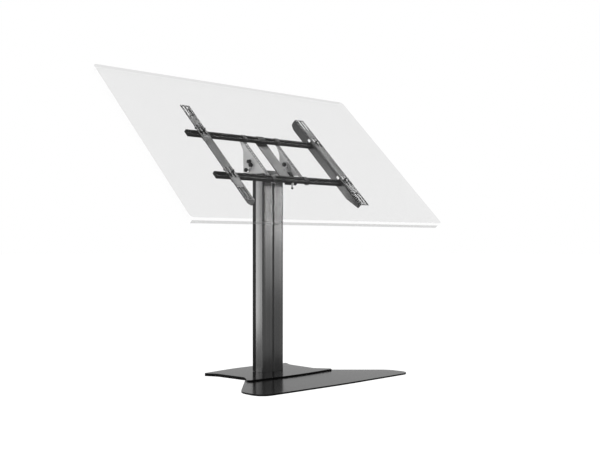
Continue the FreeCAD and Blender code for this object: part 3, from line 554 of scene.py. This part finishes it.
def soften(piece: bpy.types.Object, width: float) -> None:
    """Break the sharp edges of a piece with modifiers, its own mesh unchanged.

    Args:
        piece: Any mesh object.
        width: Width of the broken edge in metres.
    """
    weld = piece.modifiers.new("join_corners", "WELD")
    weld.merge_threshold = WELD_REACH
    bevel = piece.modifiers.new("broken_edges", "BEVEL")
    bevel.width = width
    bevel.segments = BROKEN_STEPS
    bevel.limit_method = "ANGLE"
    bevel.angle_limit = BROKEN_ANGLE
    bevel.use_clamp_overlap = True
    normals = piece.modifiers.new("even_shading", "WEIGHTED_NORMAL")
    normals.keep_sharp = False
    normals.weight = FLAT_FACE_WEIGHT


@dataclass(frozen=True)
class Ring:
    """One ring of a turned or moulded piece."""

    size: float
    level: float
    section: Section = Section.ROUND

    def reach(self, angle: float) -> float:
        """Distance from the axis at an angle.

        Args:
            angle: Angle about the axis.

        Returns:
            Radius of the section there.
        """
        if self.section is Section.HEXAGON:
            sector = math.pi / 3
            return self.size / math.cos((angle + sector / 2) % sector - sector / 2)
        if self.section is Section.LOBED:
            return self.size * (1 + LOBE_DEPTH * math.cos(LOBES * angle))
        if self.section is Section.RIBBED:
            return self.size * (1 + RIB_DEPTH * math.cos(RIBS * angle))
        return self.size


def rim(half: float, level: float, profile: Profile, section: Section = Section.ROUND) -> list[Ring]:
    """Rings of a rounded rim.

    Args:
        half: Radius beside the rim.
        level: Level of the end face.
        profile: Each ring's inset from the radius and its rise from the end face.
        section: Cross-section of the rings.

    Returns:
        The rings.
    """
    return [Ring(half - inset, level + rise, section) for inset, rise in profile]


def chamfer(half: float, level: float, size: float) -> list[Ring]:
    """Two rings of a small chamfer where a cylinder ends, at the level of its end face."""
    return rim(half, level, ((0.0, -size), (size, 0.0)))


def standing(foot: Vector, direction: Vector) -> Matrix:
    """Placement that takes local +Z to a direction.

    Args:
        foot: Where the local origin goes.
        direction: Where local +Z points.

    Returns:
        The placement.
    """
    turn = direction.to_track_quat("Z", "Y").to_matrix().to_4x4()
    return Matrix.Translation(foot) @ turn


def turned(name: str, rings: Sequence[Ring], places: Iterable[Matrix], steps: int = 48) -> bpy.types.Object:
    """Build closed turned solids from a stack of rings, one at each place.

    Args:
        name: Name of the piece.
        rings: Rings in millimetres, from one end to the other.
        places: Placement of each copy.
        steps: Points around each ring.

    Returns:
        The new piece.
    """
    shape = bmesh.new()
    angles = [2 * math.pi * i / steps for i in range(steps)]
    for place in places:
        loops = []
        for ring in rings:
            points = [Vector((ring.reach(a) * math.cos(a), ring.reach(a) * math.sin(a), ring.level))
                      for a in angles]
            loops.append([shape.verts.new(place @ (p * MM)) for p in points])
        for lower, upper in zip(loops, loops[1:]):
            for i in range(steps):
                j = (i + 1) % steps
                shape.faces.new((lower[i], lower[j], upper[j], upper[i]))
        shape.faces.new(list(reversed(loops[0])))
        shape.faces.new(loops[-1])
    return finished(name, shape)


def swept(name: str, outline: Sequence[Vector], direction: Vector, low: float,
          high: float) -> bpy.types.Object:
    """Build a closed bar from an outline along a straight line.

    Args:
        name: Name of the piece.
        outline: Corners of the section, in order.
        direction: Unit direction of the bar.
        low: Where it starts along the direction.
        high: Where it ends.

    Returns:
        The new piece.
    """
    shape = bmesh.new()
    first = [shape.verts.new(p + direction * low) for p in outline]
    last = [shape.verts.new(p + direction * high) for p in outline]
    count = len(outline)
    for i in range(count):
        j = (i + 1) % count
        shape.faces.new((first[i], first[j], last[j], last[i]))
    shape.faces.new(list(reversed(first)))
    shape.faces.new(last)
    return finished(name, shape)


def finished(name: str, shape: bmesh.types.BMesh) -> bpy.types.Object:
    """Turn a shape into an object with smooth faces and sharp creases.

    Args:
        name: Name of the piece.
        shape: The finished shape, freed here.

    Returns:
        The new object.
    """
    bmesh.ops.recalc_face_normals(shape, faces=shape.faces)
    mesh = bpy.data.meshes.new(name)
    shape.to_mesh(mesh)
    shape.free()
    mesh.shade_smooth()
    mesh.set_sharp_from_angle(angle=CREASE_ANGLE)
    piece = bpy.data.objects.new(name, mesh)
    bpy.context.scene.collection.objects.link(piece)
    return piece


@dataclass(frozen=True)
class Solid:
    """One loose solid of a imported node, measured along an axis."""

    points: tuple[Vector, ...]

    def span(self, axis: Vector) -> tuple[float, float]:
        """Lowest and highest reach along an axis.

        Args:
            axis: Unit direction.

        Returns:
            Both ends.
        """
        reaches = [p.dot(axis) for p in self.points]
        return min(reaches), max(reaches)

    def start(self, axis: Vector) -> Vector:
        """Point on the solid's own axis where it starts.

        Args:
            axis: Unit direction of the solid's axis.

        Returns:
            The start point.
        """
        side = axis.orthogonal().normalized()
        middle = Vector()
        for direction in (side, axis.cross(side)):
            low, high = self.span(direction)
            middle += direction * (low + high) / 2
        return middle + axis * self.span(axis)[0]

    def length(self, axis: Vector) -> float:
        """Length along an axis in millimetres."""
        low, high = self.span(axis)
        return (high - low) / MM


def solids_of(node: bpy.types.Object) -> list[Solid]:
    """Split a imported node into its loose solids.

    Args:
        node: The node's object.

    Returns:
        Its solids, in the order of their first corners.
    """
    shape = bmesh.new()
    shape.from_mesh(node.data)
    bmesh.ops.remove_doubles(shape, verts=shape.verts, dist=SAME_POINT)
    reached = set()
    found = []
    for first in shape.verts:
        if first in reached:
            continue
        reached.add(first)
        queue = [first]
        members = []
        while queue:
            vertex = queue.pop()
            members.append(vertex.co.copy())
            for edge in vertex.link_edges:
                other = edge.other_vert(vertex)
                if other not in reached:
                    reached.add(other)
                    queue.append(other)
        found.append(Solid(tuple(members)))
    shape.free()
    return found


@dataclass(frozen=True)
class HeadFrame:
    """Directions and places of the tilting head at rest, in millimetres."""

    tilt: float = math.radians(45.0)
    pivot_back: float = -4.0
    pivot_height: float = 727.5
    pivot_along: float = 15.8
    pivot_depth: float = 45.9
    rail_along: float = 101.4

    def normal(self) -> Vector:
        """Direction out of the screen side."""
        return Vector((0.0, -math.sin(self.tilt), math.cos(self.tilt)))

    def along(self) -> Vector:
        """Direction up the screen."""
        return Vector((0.0, math.cos(self.tilt), math.sin(self.tilt)))

    def point(self, x: float, along: float, depth: float) -> Vector:
        """World point of head coordinates in millimetres.

        Args:
            x: Sideways.
            along: Up the screen from the arms' middle.
            depth: Behind the arms' front face.

        Returns:
            The point in metres.
        """
        pivot = Vector((x, self.pivot_back, self.pivot_height))
        up = self.along() * (along - self.pivot_along)
        return (pivot + up + self.normal() * (self.pivot_depth - depth)) * MM


HEAD = HeadFrame()


@dataclass(frozen=True)
class ScrewForm:
    """Socket screw in millimetres: head, shank, hexagon socket and, where it has one, a washer."""

    head: float
    head_height: float
    shank: float
    flats: float
    socket: float
    round_over: float = 0.4
    washer: float = 0.0
    washer_height: float = 0.0
    washer_edge: float = 0.2
    mouth: float = 0.3
    drill_share: float = 0.3
    drill_depth: float = 0.6
    edge: float = 0.15
    shank_chamfer: float = 0.6
    steps: int = 36

    def rings(self, length: float) -> list[Ring]:
        """Rings from the socket's floor over the head to the shank's end.

        Args:
            length: Whole length of the screw.

        Returns:
            The rings.
        """
        inner = self.flats / 2
        outer = self.head / 2
        shank = self.shank / 2
        soft = self.round_over
        bend = ROUND_SHARE * soft
        foot = self.head_height
        rings = [Ring(self.flats * self.drill_share, self.socket + self.drill_depth, Section.HEXAGON),
                 Ring(inner, self.socket, Section.HEXAGON), Ring(inner, self.mouth, Section.HEXAGON),
                 Ring(inner + self.mouth, 0.0, Section.HEXAGON)]
        rings += rim(outer, 0.0, ((soft, 0.0), (bend, bend), (0.0, soft)))
        rings += chamfer(outer, foot, self.edge)
        if self.washer:
            wide = self.washer / 2
            rings += rim(wide, foot, ((self.washer_edge, 0.0), (0.0, self.washer_edge)))
            foot += self.washer_height
            rings += chamfer(wide, foot, self.edge)
        rings.append(Ring(shank, foot))
        return rings + chamfer(shank, length, self.shank_chamfer)


@dataclass
class SubAssembly:
    """What every sub-assembly has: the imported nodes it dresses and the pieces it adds."""

    nodes: Mapping[str, bpy.types.Object]
    pieces: list[bpy.types.Object] = field(default_factory=list)

    def add(self, piece: bpy.types.Object, finish: Finish, body: Body, *replaced: str) -> None:
        """Finish a new piece and fasten it to its body.

        Args:
            piece: The new piece.
            finish: Its finish.
            body: Body it rides on.
            *replaced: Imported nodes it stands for.
        """
        wear(piece, finish)
        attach(piece, body.value)
        if replaced:
            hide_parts(*replaced)
        self.pieces.append(piece)
        LOG.info("added %s on %s", piece.name, body.value)

    def keep(self, finish: Finish, edge: float, *names: str) -> None:
        """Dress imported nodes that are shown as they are.

        Args:
            finish: Their finish.
            edge: Width of their broken edges in metres.
            *names: Names of the nodes.
        """
        for name in names:
            soften(wear(self.nodes[name], finish), edge)
            LOG.info("dressed %s", name)

    def screws(self, node: str, form: ScrewForm, direction: Vector, body: Body, finish: Finish) -> None:
        """Replace a node of plain pegs by detailed screws in the same places.

        Args:
            node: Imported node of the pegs.
            form: Shape of one screw.
            direction: Direction that points into the work.
            body: Body the screws ride on.
            finish: Their finish.
        """
        solids = solids_of(self.nodes[node])
        places = [standing(solid.start(direction), direction) for solid in solids]
        rings = form.rings(solids[0].length(direction))
        self.add(turned(node.replace("screws", "screw_set"), rings, places, form.steps), finish, body, node)

    def build(self) -> None:
        """Make the sub-assembly's own pieces."""

    def dress(self) -> None:
        """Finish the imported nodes."""


@dataclass
class BasePlates(SubAssembly):
    """Front plate, rear plate, packer and the screws under them."""

    edge: float = 0.7 * MM
    plate_screw: ScrewForm = ScrewForm(head=10.4, head_height=3.0, shank=5.7, flats=3.0, socket=1.6)
    foot_screw: ScrewForm = ScrewForm(head=11.9, head_height=3.6, shank=6.4, flats=5.0, socket=2.2)

    def build(self) -> None:
        """Make the screws under the base."""
        self.screws("base_plate_screws", self.plate_screw, UP, Body.STAND, ZINC)
        self.screws("column_foot_screws", self.foot_screw, UP, Body.STAND, ZINC)

    def dress(self) -> None:
        """Finish the plates."""
        self.keep(BLACK_COAT, self.edge, "front_base_plate", "rear_base_plate", "rear_base_packer_plate")


@dataclass
class Column(SubAssembly):
    """Extruded column, the strip in its slot and its cable cover."""

    edge: float = 0.5 * MM
    strip_edge: float = 0.3 * MM
    cover_edge: float = 0.6 * MM
    lip_half: float = 4.3
    lip_foot: float = 0.05
    lip_shoulder: float = 0.15
    lip_rise: float = 0.5
    lip_points: int = 12

    def build(self) -> None:
        """Make the soft lip that closes the slot's mouth, domed and a little proud of the face."""
        column = solids_of(self.nodes["column_extrusion"])[0]
        face = column.span(AXIS_Y)[0] / MM
        low, high = column.span(UP)
        outline = [(-self.lip_half, face - self.lip_foot), (self.lip_half, face - self.lip_foot)]
        for i in range(self.lip_points + 1):
            angle = math.pi * i / self.lip_points
            out = self.lip_shoulder + self.lip_rise * math.sin(angle)
            outline.append((self.lip_half * math.cos(angle), face - out))
        corners = [Vector((x, y, 0.0)) * MM for x, y in outline]
        self.add(swept("slot_lip_seal", corners, UP, low, high), RUBBER, Body.STAND)

    def dress(self) -> None:
        """Finish the extrusion, strip and cover."""
        self.keep(COLUMN_METAL, self.edge, "column_extrusion")
        self.keep(PLASTIC, self.strip_edge, "front_slot_strip")
        self.keep(PLASTIC, self.cover_edge, "rear_cable_cover")


@dataclass
class TopBracket(SubAssembly):
    """Bracket with ears, its screws and the pivot bolts."""

    edge: float = 0.5 * MM
    nut_edge: float = 0.4 * MM
    spacer_edge: float = 0.2 * MM
    screw: ScrewForm = ScrewForm(head=11.0, head_height=4.0, shank=6.4, flats=5.0, socket=2.4)
    pivot: ScrewForm = ScrewForm(head=13.0, head_height=8.0, shank=8.0, flats=6.0, socket=4.0,
                                 round_over=0.8, washer=16.0, washer_height=1.6, steps=48)

    def build(self) -> None:
        """Make the bracket's screws and the flanged pivots."""
        self.screws("bracket_screws", self.screw, -UP, Body.STAND, ZINC)
        solids = solids_of(self.nodes["pivot_bolts"])
        places = []
        for solid in solids:
            inward = AXIS_X if solid.span(AXIS_X)[1] < 0 else -AXIS_X
            places.append(standing(solid.start(inward), inward))
        rings = self.pivot.rings(solids[0].length(AXIS_X))
        pair = turned("pivot_bolt_pair", rings, places, self.pivot.steps)
        self.add(pair, BLACK_OXIDE, Body.STAND, "pivot_bolts")

    def dress(self) -> None:
        """Finish the bracket, nuts and spacers."""
        self.keep(LIGHT_COAT, self.edge, "column_top_bracket")
        self.keep(BLACK_OXIDE, self.nut_edge, "pivot_nuts")
        self.keep(PLASTIC, self.spacer_edge, "pivot_spacers")


@dataclass
class Clamps(SubAssembly):
    """Lobed clamp knobs with their studs and nuts."""

    knob: float = 15.0
    grip_height: float = 8.5
    dish_depth: float = 0.35
    dish_middle: float = 0.4
    dish_inner: float = 0.42
    dish_outer: float = 0.5
    crown: Profile = ((1.6, 0.0), (0.7, 0.3), (0.15, 1.0), (0.0, 1.8))
    heel: Profile = ((0.0, -1.4), (0.4, -0.5), (1.2, 0.0))
    collar: float = 10.0
    collar_height: float = 2.5
    collar_edge: float = 0.3
    stud: float = 5.0
    stud_chamfer: float = 0.5
    nut_edge: float = 0.3 * MM
    steps: int = 72

    def rings(self, length: float) -> list[Ring]:
        """Rings of one knob from its dished crown to the stud's end.

        Args:
            length: Whole length of knob and stud.

        Returns:
            The rings.
        """
        half = self.knob / 2 / (1 + LOBE_DEPTH)
        collar = self.collar / 2
        stud = self.stud / 2
        foot = self.grip_height + self.collar_height
        rings = [Ring(self.dish_middle, self.dish_depth), Ring(half * self.dish_inner, self.dish_depth),
                 Ring(half * self.dish_outer, 0.0)]
        rings += rim(half, 0.0, self.crown, Section.LOBED)
        rings += rim(half, self.grip_height, self.heel, Section.LOBED)
        rings.append(Ring(collar, self.grip_height))
        rings += chamfer(collar, foot, self.collar_edge)
        rings.append(Ring(stud, foot))
        return rings + chamfer(stud, length, self.stud_chamfer)

    def build(self) -> None:
        """Make both knobs."""
        for side, inward, body in (("left", AXIS_X, Body.LEFT_CLAMP), ("right", -AXIS_X, Body.RIGHT_CLAMP)):
            node = f"{side}_clamp_knob"
            solid = solids_of(self.nodes[node])[0]
            place = standing(solid.start(inward), inward)
            knob = turned(f"{side}_clamp_lobed_knob", self.rings(solid.length(inward)), [place], self.steps)
            self.add(knob, PLASTIC, body, node)

    def dress(self) -> None:
        """Finish the nuts."""
        self.keep(ZINC, self.nut_edge, "clamp_nuts")


@dataclass
class IndexPlunger(SubAssembly):
    """Spring plunger: hexagon body, pin and ribbed grip."""

    body_edge: float = 0.4 * MM
    grip: float = 13.5
    grip_bore: float = 5.2
    grip_foot: Profile = ((1.0, 0.0), (0.3, 0.4), (0.1, 1.2))
    grip_dome: Profile = ((0.1, -2.4), (0.6, -1.0), (1.6, -0.2), (3.0, 0.0))
    rib_start: float = 1.8
    rib_stop: float = 3.0
    grip_steps: int = 144
    pin: float = 5.0
    pin_play: float = 0.05
    nose_inset: float = 0.8
    nose_length: float = 0.9

    def build(self) -> None:
        """Make the grip and the pin."""
        outward = -AXIS_X
        solid = solids_of(self.nodes["plunger_grip"])[0]
        length = solid.length(outward)
        half = self.grip / 2 / (1 + RIB_DEPTH)
        rings = [Ring(self.grip_bore / 2, 0.0)] + rim(half, 0.0, self.grip_foot)
        rings += [Ring(half, level, Section.RIBBED) for level in (self.rib_start, length - self.rib_stop)]
        rings += rim(half, length, self.grip_dome)
        place = standing(solid.start(outward), outward)
        grip = turned("plunger_ribbed_grip", rings, [place], self.grip_steps)
        self.add(grip, PLASTIC, Body.PLUNGER, "plunger_grip")
        solid = solids_of(self.nodes["plunger_pin"])[0]
        half = self.pin / 2
        rings = [Ring(half - self.nose_inset, 0.0), Ring(half - self.pin_play, self.nose_length),
                 Ring(half - self.pin_play, solid.length(outward))]
        pin = turned("plunger_turned_pin", rings, [standing(solid.start(outward), outward)])
        self.add(pin, ZINC, Body.PLUNGER, "plunger_pin")

    def dress(self) -> None:
        """Finish the plunger's body."""
        self.keep(ZINC, self.body_edge, "plunger_body")


@dataclass
class TiltFrame(SubAssembly):
    """Tilt plates, centre brace, rails with end caps and the screws between them."""

    edge: float = 0.5 * MM
    rail_edge: float = 0.7 * MM
    screw: ScrewForm = ScrewForm(head=9.0, head_height=2.8, shank=4.7, flats=3.0, socket=1.4)

    def build(self) -> None:
        """Make the screws that hold the plates to the rails."""
        self.screws("rail_screws", self.screw, HEAD.normal(), Body.HEAD, BLACK_OXIDE)

    def dress(self) -> None:
        """Finish plates, brace, rails and caps."""
        self.keep(LIGHT_COAT, self.edge, "left_tilt_plate", "right_tilt_plate")
        self.keep(BRACE_COAT, self.edge, "centre_brace_plate")
        self.keep(RAIL_METAL, self.rail_edge, "upper_rail", "lower_rail")
        self.keep(PLASTIC, self.edge, "rail_end_caps")


@dataclass
class RailSaddles(SubAssembly):
    """Bent saddles that wrap the rails where plates cross them, with bolts under the lower ones."""

    rail_half: float = 12.0
    rail_front: float = 11.0
    rail_back: float = 22.0
    sheet: float = 1.4
    gap: float = 0.15
    corner: float = 1.6
    plate_x: float = 77.0
    plate_half: float = 9.0
    brace_half: float = 17.0
    bolt_shift: float = 5.0
    bolt_half: float = 3.0
    bolt_edge: Profile = ((0.1, 0.0), (0.0, 0.2), (0.0, 2.4))
    bolt_height: float = 2.7
    stud_half: float = 1.8
    stud_end: float = 4.3
    stud_chamfer: float = 0.4
    bolt_steps: int = 36

    def outline(self, side: float) -> list[Vector]:
        """C-shaped section around one rail.

        Args:
            side: One for the upper rail, minus one for the lower rail.

        Returns:
            Corners of the section in metres.
        """
        near = self.rail_half + self.gap
        far = near + self.sheet
        inner = self.rail_front - self.gap
        front = inner - self.sheet
        soft = self.corner
        bend = ROUND_SHARE * soft
        section = [
            (-far, self.rail_back), (-far, front + soft), (-far + bend, front + bend),
            (-far + soft, front), (far - soft, front), (far - bend, front + bend),
            (far, front + soft), (far, self.rail_back), (near, self.rail_back), (near, inner),
            (-near, inner), (-near, self.rail_back),
        ]
        return [HEAD.point(0.0, side * HEAD.rail_along + along, depth) for along, depth in section]

    def bolt_rings(self) -> list[Ring]:
        """Rings of one hexagon bolt with its stud's end.

        Returns:
            The rings.
        """
        rings = rim(self.bolt_half, 0.0, self.bolt_edge, Section.HEXAGON)
        rings.append(Ring(self.bolt_half - self.stud_chamfer, self.bolt_height))
        rings.append(Ring(self.stud_half, self.bolt_height))
        return rings + chamfer(self.stud_half, self.stud_end, self.stud_chamfer)

    def build(self) -> None:
        """Make the saddles and their bolts."""
        seats = (("upper_left", 1.0, -self.plate_x, self.plate_half),
                 ("upper_middle", 1.0, 0.0, self.brace_half),
                 ("upper_right", 1.0, self.plate_x, self.plate_half),
                 ("lower_left", -1.0, -self.plate_x, self.plate_half),
                 ("lower_right", -1.0, self.plate_x, self.plate_half))
        for name, side, x, half in seats:
            outline = self.outline(side)
            saddle = swept(f"{name}_rail_saddle", outline, AXIS_X, (x - half) * MM, (x + half) * MM)
            self.add(saddle, BLACK_OXIDE, Body.HEAD)
        under = -HEAD.rail_along - self.rail_half - self.gap - self.sheet
        middle = (self.rail_front + self.rail_back) / 2
        places = [standing(HEAD.point(x + shift, under, middle), -HEAD.along())
                  for x in (-self.plate_x, self.plate_x) for shift in (-self.bolt_shift, self.bolt_shift)]
        bolts = turned("saddle_bolt_set", self.bolt_rings(), places, self.bolt_steps)
        self.add(bolts, BLACK_OXIDE, Body.HEAD)


@dataclass
class StopAndClip(SubAssembly):
    """Stop block with its soft-tipped post, and the cable clip."""

    block_edge: float = 0.6 * MM
    post_edge: float = 0.3 * MM
    tip: float = 7.6
    tip_foot: Profile = ((0.3, 0.0), (0.0, 0.3))
    tip_dome: Profile = ((0.0, -2.6), (0.35, -1.4), (1.0, -0.6), (2.0, -0.1), (3.2, 0.0))

    def build(self) -> None:
        """Make the soft tip."""
        solid = solids_of(self.nodes["stop_tip"])[0]
        half = self.tip / 2
        rings = rim(half, 0.0, self.tip_foot) + rim(half, solid.length(-UP), self.tip_dome)
        tip = turned("stop_soft_tip", rings, [standing(solid.start(-UP), -UP)])
        self.add(tip, RUBBER, Body.HEAD, "stop_tip")

    def dress(self) -> None:
        """Finish the block, post and clip."""
        self.keep(PLASTIC, self.block_edge, "stop_block", "cable_clip")
        self.keep(ZINC, self.post_edge, "stop_post")


@dataclass
class ScreenArms(SubAssembly):
    """Slotted arms and the clamps that pull them onto the rails."""

    plate_edge: float = 0.4 * MM
    screw: ScrewForm = ScrewForm(head=7.0, head_height=2.6, shank=3.7, flats=2.5, socket=1.3)
    arm_edge: float = 290.0
    clip_shift: float = 10.0
    clip_half: float = 2.5
    clip_out: float = 4.0
    clip_flat: float = 2.4
    clip_hook: float = 4.5
    clip_seat: float = 0.2
    clip_front: float = 0.4
    clip_back: float = 4.0
    clip_wall: float = 1.2
    clip_corner: float = 0.8

    def hook(self) -> list[tuple[float, float]]:
        """Section of a spring clip.

        Returns:
            Distance out of the arm's edge and depth behind its face, for each corner.
        """
        inside = self.clip_back - self.clip_wall
        return [
            (-self.clip_hook, inside), (self.clip_seat, inside), (self.clip_seat, self.clip_front),
            (self.clip_flat, self.clip_front), (self.clip_out, self.clip_front + self.clip_corner),
            (self.clip_out, self.clip_back - self.clip_corner), (self.clip_flat, self.clip_back),
            (-self.clip_hook, self.clip_back),
        ]

    def build(self) -> None:
        """Make the clamp screws, and the spring clips on the arms' free edges beside the rails."""
        self.screws("arm_clamp_screws", self.screw, HEAD.normal(), Body.CARRIER, BLACK_OXIDE)
        for name, side in (("left_arm", -1.0), ("right_arm", 1.0)):
            outline = [HEAD.point(side * (self.arm_edge + out), 0.0, depth) for out, depth in self.hook()]
            for level, rail in (("lower", -HEAD.rail_along), ("upper", HEAD.rail_along)):
                for end, shift in (("under", -self.clip_shift), ("over", self.clip_shift)):
                    low = (rail + shift - self.clip_half) * MM
                    high = (rail + shift + self.clip_half) * MM
                    clip = swept(f"{name}_{level}_edge_clip_{end}", outline, HEAD.along(), low, high)
                    self.add(clip, BLACK_OXIDE, Body.CARRIER)

    def dress(self) -> None:
        """Finish arms and clamp plates."""
        for name in ("left_screen_arm", "right_screen_arm"):
            wear(self.nodes[name], ARM_COAT)
            LOG.info("dressed %s", name)
        self.keep(ARM_COAT, self.plate_edge, "arm_clamp_plates")


@dataclass
class Screen(SubAssembly):
    """The see-through screen and the screws that hold it."""

    margin: float = 0.3 * MM
    screw: ScrewForm = ScrewForm(head=10.5, head_height=3.6, shank=5.7, flats=4.0, socket=2.0,
                                 washer=15.0, washer_height=1.2)

    def build(self) -> None:
        """Make the screws behind the arms."""
        self.screws("screen_screws", self.screw, HEAD.normal(), Body.CARRIER, BLACK_OXIDE)

    def dress(self) -> None:
        """Finish the two slabs."""
        for name, finish in (("screen_front_slab", SLAB_FRONT), ("screen_back_slab", SLAB_BACK)):
            node = self.nodes[name]
            wear(node, finish.fitted(solids_of(node)[0], self.margin))
            LOG.info("dressed %s", name)


@dataclass(frozen=True)
class SoftBox:
    """Rectangular soft light that looks at a point, for highlights, for shading or for both."""

    name: str
    place: tuple[float, float, float]
    aim: tuple[float, float, float]
    width: float
    height: float
    watts: float
    highlights: bool = True
    shading: bool = True

    def build(self) -> None:
        """Make the light."""
        lamp = bpy.data.lights.new(self.name, "AREA")
        lamp.shape = "RECTANGLE"
        lamp.size = self.width
        lamp.size_y = self.height
        lamp.energy = self.watts
        light = bpy.data.objects.new(self.name, lamp)
        light.location = self.place
        light.visible_camera = False
        light.visible_glossy = self.highlights
        light.visible_diffuse = self.shading
        aim = Vector(self.aim) - Vector(self.place)
        light.rotation_euler = aim.to_track_quat("-Z", "Y").to_euler()
        bpy.context.scene.collection.objects.link(light)


@dataclass
class Studio:
    """Camera, soft lights, pale floor and white background."""

    camera_place: tuple[float, float, float] = (-2.19797, -2.35595, 0.4521)
    camera_turn: tuple[float, float, float] = (math.radians(90.0), 0.0, math.radians(-45.0))
    focal_pixels: float = 930.99
    horizon_row: float = 242.87
    frame_width: float = 600.0
    frame_height: float = 450.0
    sensor: float = 36.0
    view_depth: float = 200.0
    floor_half: float = 30.0
    floor_drop: float = 0.2 * MM
    floor_level: float = 0.8
    floor_seen: float = 0.8
    floor_glow: float = 1.25
    world_strength: float = 0.25
    boxes: tuple[SoftBox, ...] = (
        SoftBox("upper_right_soft_light", place=(2.15, 0.24, 3.0), aim=(0.0, 0.0, 0.75),
                width=1.3, height=2.4, watts=40.0, shading=False),
        SoftBox("top_soft_light", place=(-0.9, -0.35, 3.2), aim=(0.0, -0.05, 0.75),
                width=2.8, height=0.9, watts=54.0, shading=False),
        SoftBox("front_right_upper_light", place=(0.885, -0.885, 0.75), aim=(0.0, 0.0, 0.75),
                width=0.3, height=0.5, watts=5.4),
        SoftBox("front_right_lower_light", place=(0.885, -0.885, 0.375), aim=(0.0, 0.0, 0.375),
                width=0.3, height=0.25, watts=0.6),
        SoftBox("left_back_soft_light", place=(-0.645, 1.01, 0.41), aim=(0.0, 0.0, 0.41),
                width=0.69, height=0.78, watts=10.4),
        SoftBox("left_soft_light", place=(-2.55, -0.45, 1.3), aim=(0.0, 0.0, 0.8),
                width=1.0, height=1.0, watts=66.0, highlights=False),
    )

    def build(self) -> None:
        """Make the whole studio."""
        self.build_camera()
        for box in self.boxes:
            box.build()
        self.build_floor()
        self.build_world()
        bpy.context.scene.view_settings.view_transform = "Standard"
        LOG.info("studio ready")

    def build_camera(self) -> None:
        """Level camera at the photograph's viewing angle."""
        lens = bpy.data.cameras.new("studio_camera")
        lens.sensor_fit = "HORIZONTAL"
        lens.sensor_width = self.sensor
        lens.lens = self.sensor * self.focal_pixels / self.frame_width
        lens.shift_y = (self.horizon_row - self.frame_height / 2) / self.frame_width
        lens.clip_end = self.view_depth
        camera = bpy.data.objects.new("studio_camera", lens)
        camera.location = self.camera_place
        camera.rotation_euler = self.camera_turn
        bpy.context.scene.collection.objects.link(camera)
        bpy.context.scene.camera = camera

    def build_floor(self) -> None:
        """Plain pale floor that stays white for the camera and keeps a faint shadow."""
        half = self.floor_half
        shape = bmesh.new()
        corners = [(-half, -half), (half, -half), (half, half), (-half, half)]
        shape.faces.new([shape.verts.new((x, y, -self.floor_drop)) for x, y in corners])
        floor = finished("studio_floor", shape)
        material = bpy.data.materials.new("pale_floor")
        material.use_nodes = True
        graph = Graph(material.node_tree)
        matt = graph.node("ShaderNodeBsdfDiffuse", inputs={"Color": grey(self.floor_level)})
        white = graph.node("ShaderNodeEmission", inputs={"Color": grey(1.0), "Strength": self.floor_glow})
        share = graph.seen() * self.floor_seen
        mixed = graph.node("ShaderNodeMixShader", inputs={0: share, 1: matt, 2: white})
        graph.sink("ShaderNodeOutputMaterial", {"Surface": mixed})
        floor.data.materials.append(material)

    def build_world(self) -> None:
        """White background, with a plain level of light on the object."""
        world = bpy.data.worlds.new("white_studio")
        bpy.context.scene.world = world
        world.use_nodes = True
        graph = Graph(world.node_tree)
        strength = self.world_strength + graph.seen() * (1.0 - self.world_strength)
        light = graph.node("ShaderNodeBackground", inputs={"Color": grey(1.0), "Strength": strength})
        graph.sink("ShaderNodeOutputWorld", {"Surface": light})


def main() -> None:
    """Load the frame, set the studio, dress the frame and add the small parts."""
    logging.basicConfig(level=logging.INFO, format="%(message)s")
    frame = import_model()
    nodes = frame["nodes"]
    Studio().build()
    for kind in (BasePlates, Column, TopBracket, Clamps, IndexPlunger, TiltFrame, RailSaddles,
                 StopAndClip, ScreenArms, Screen):
        part = kind(nodes)
        part.build()
        part.dress()
        LOG.info("%s: %d pieces added", kind.__name__, len(part.pieces))


if __name__ == "__main__":
    main()
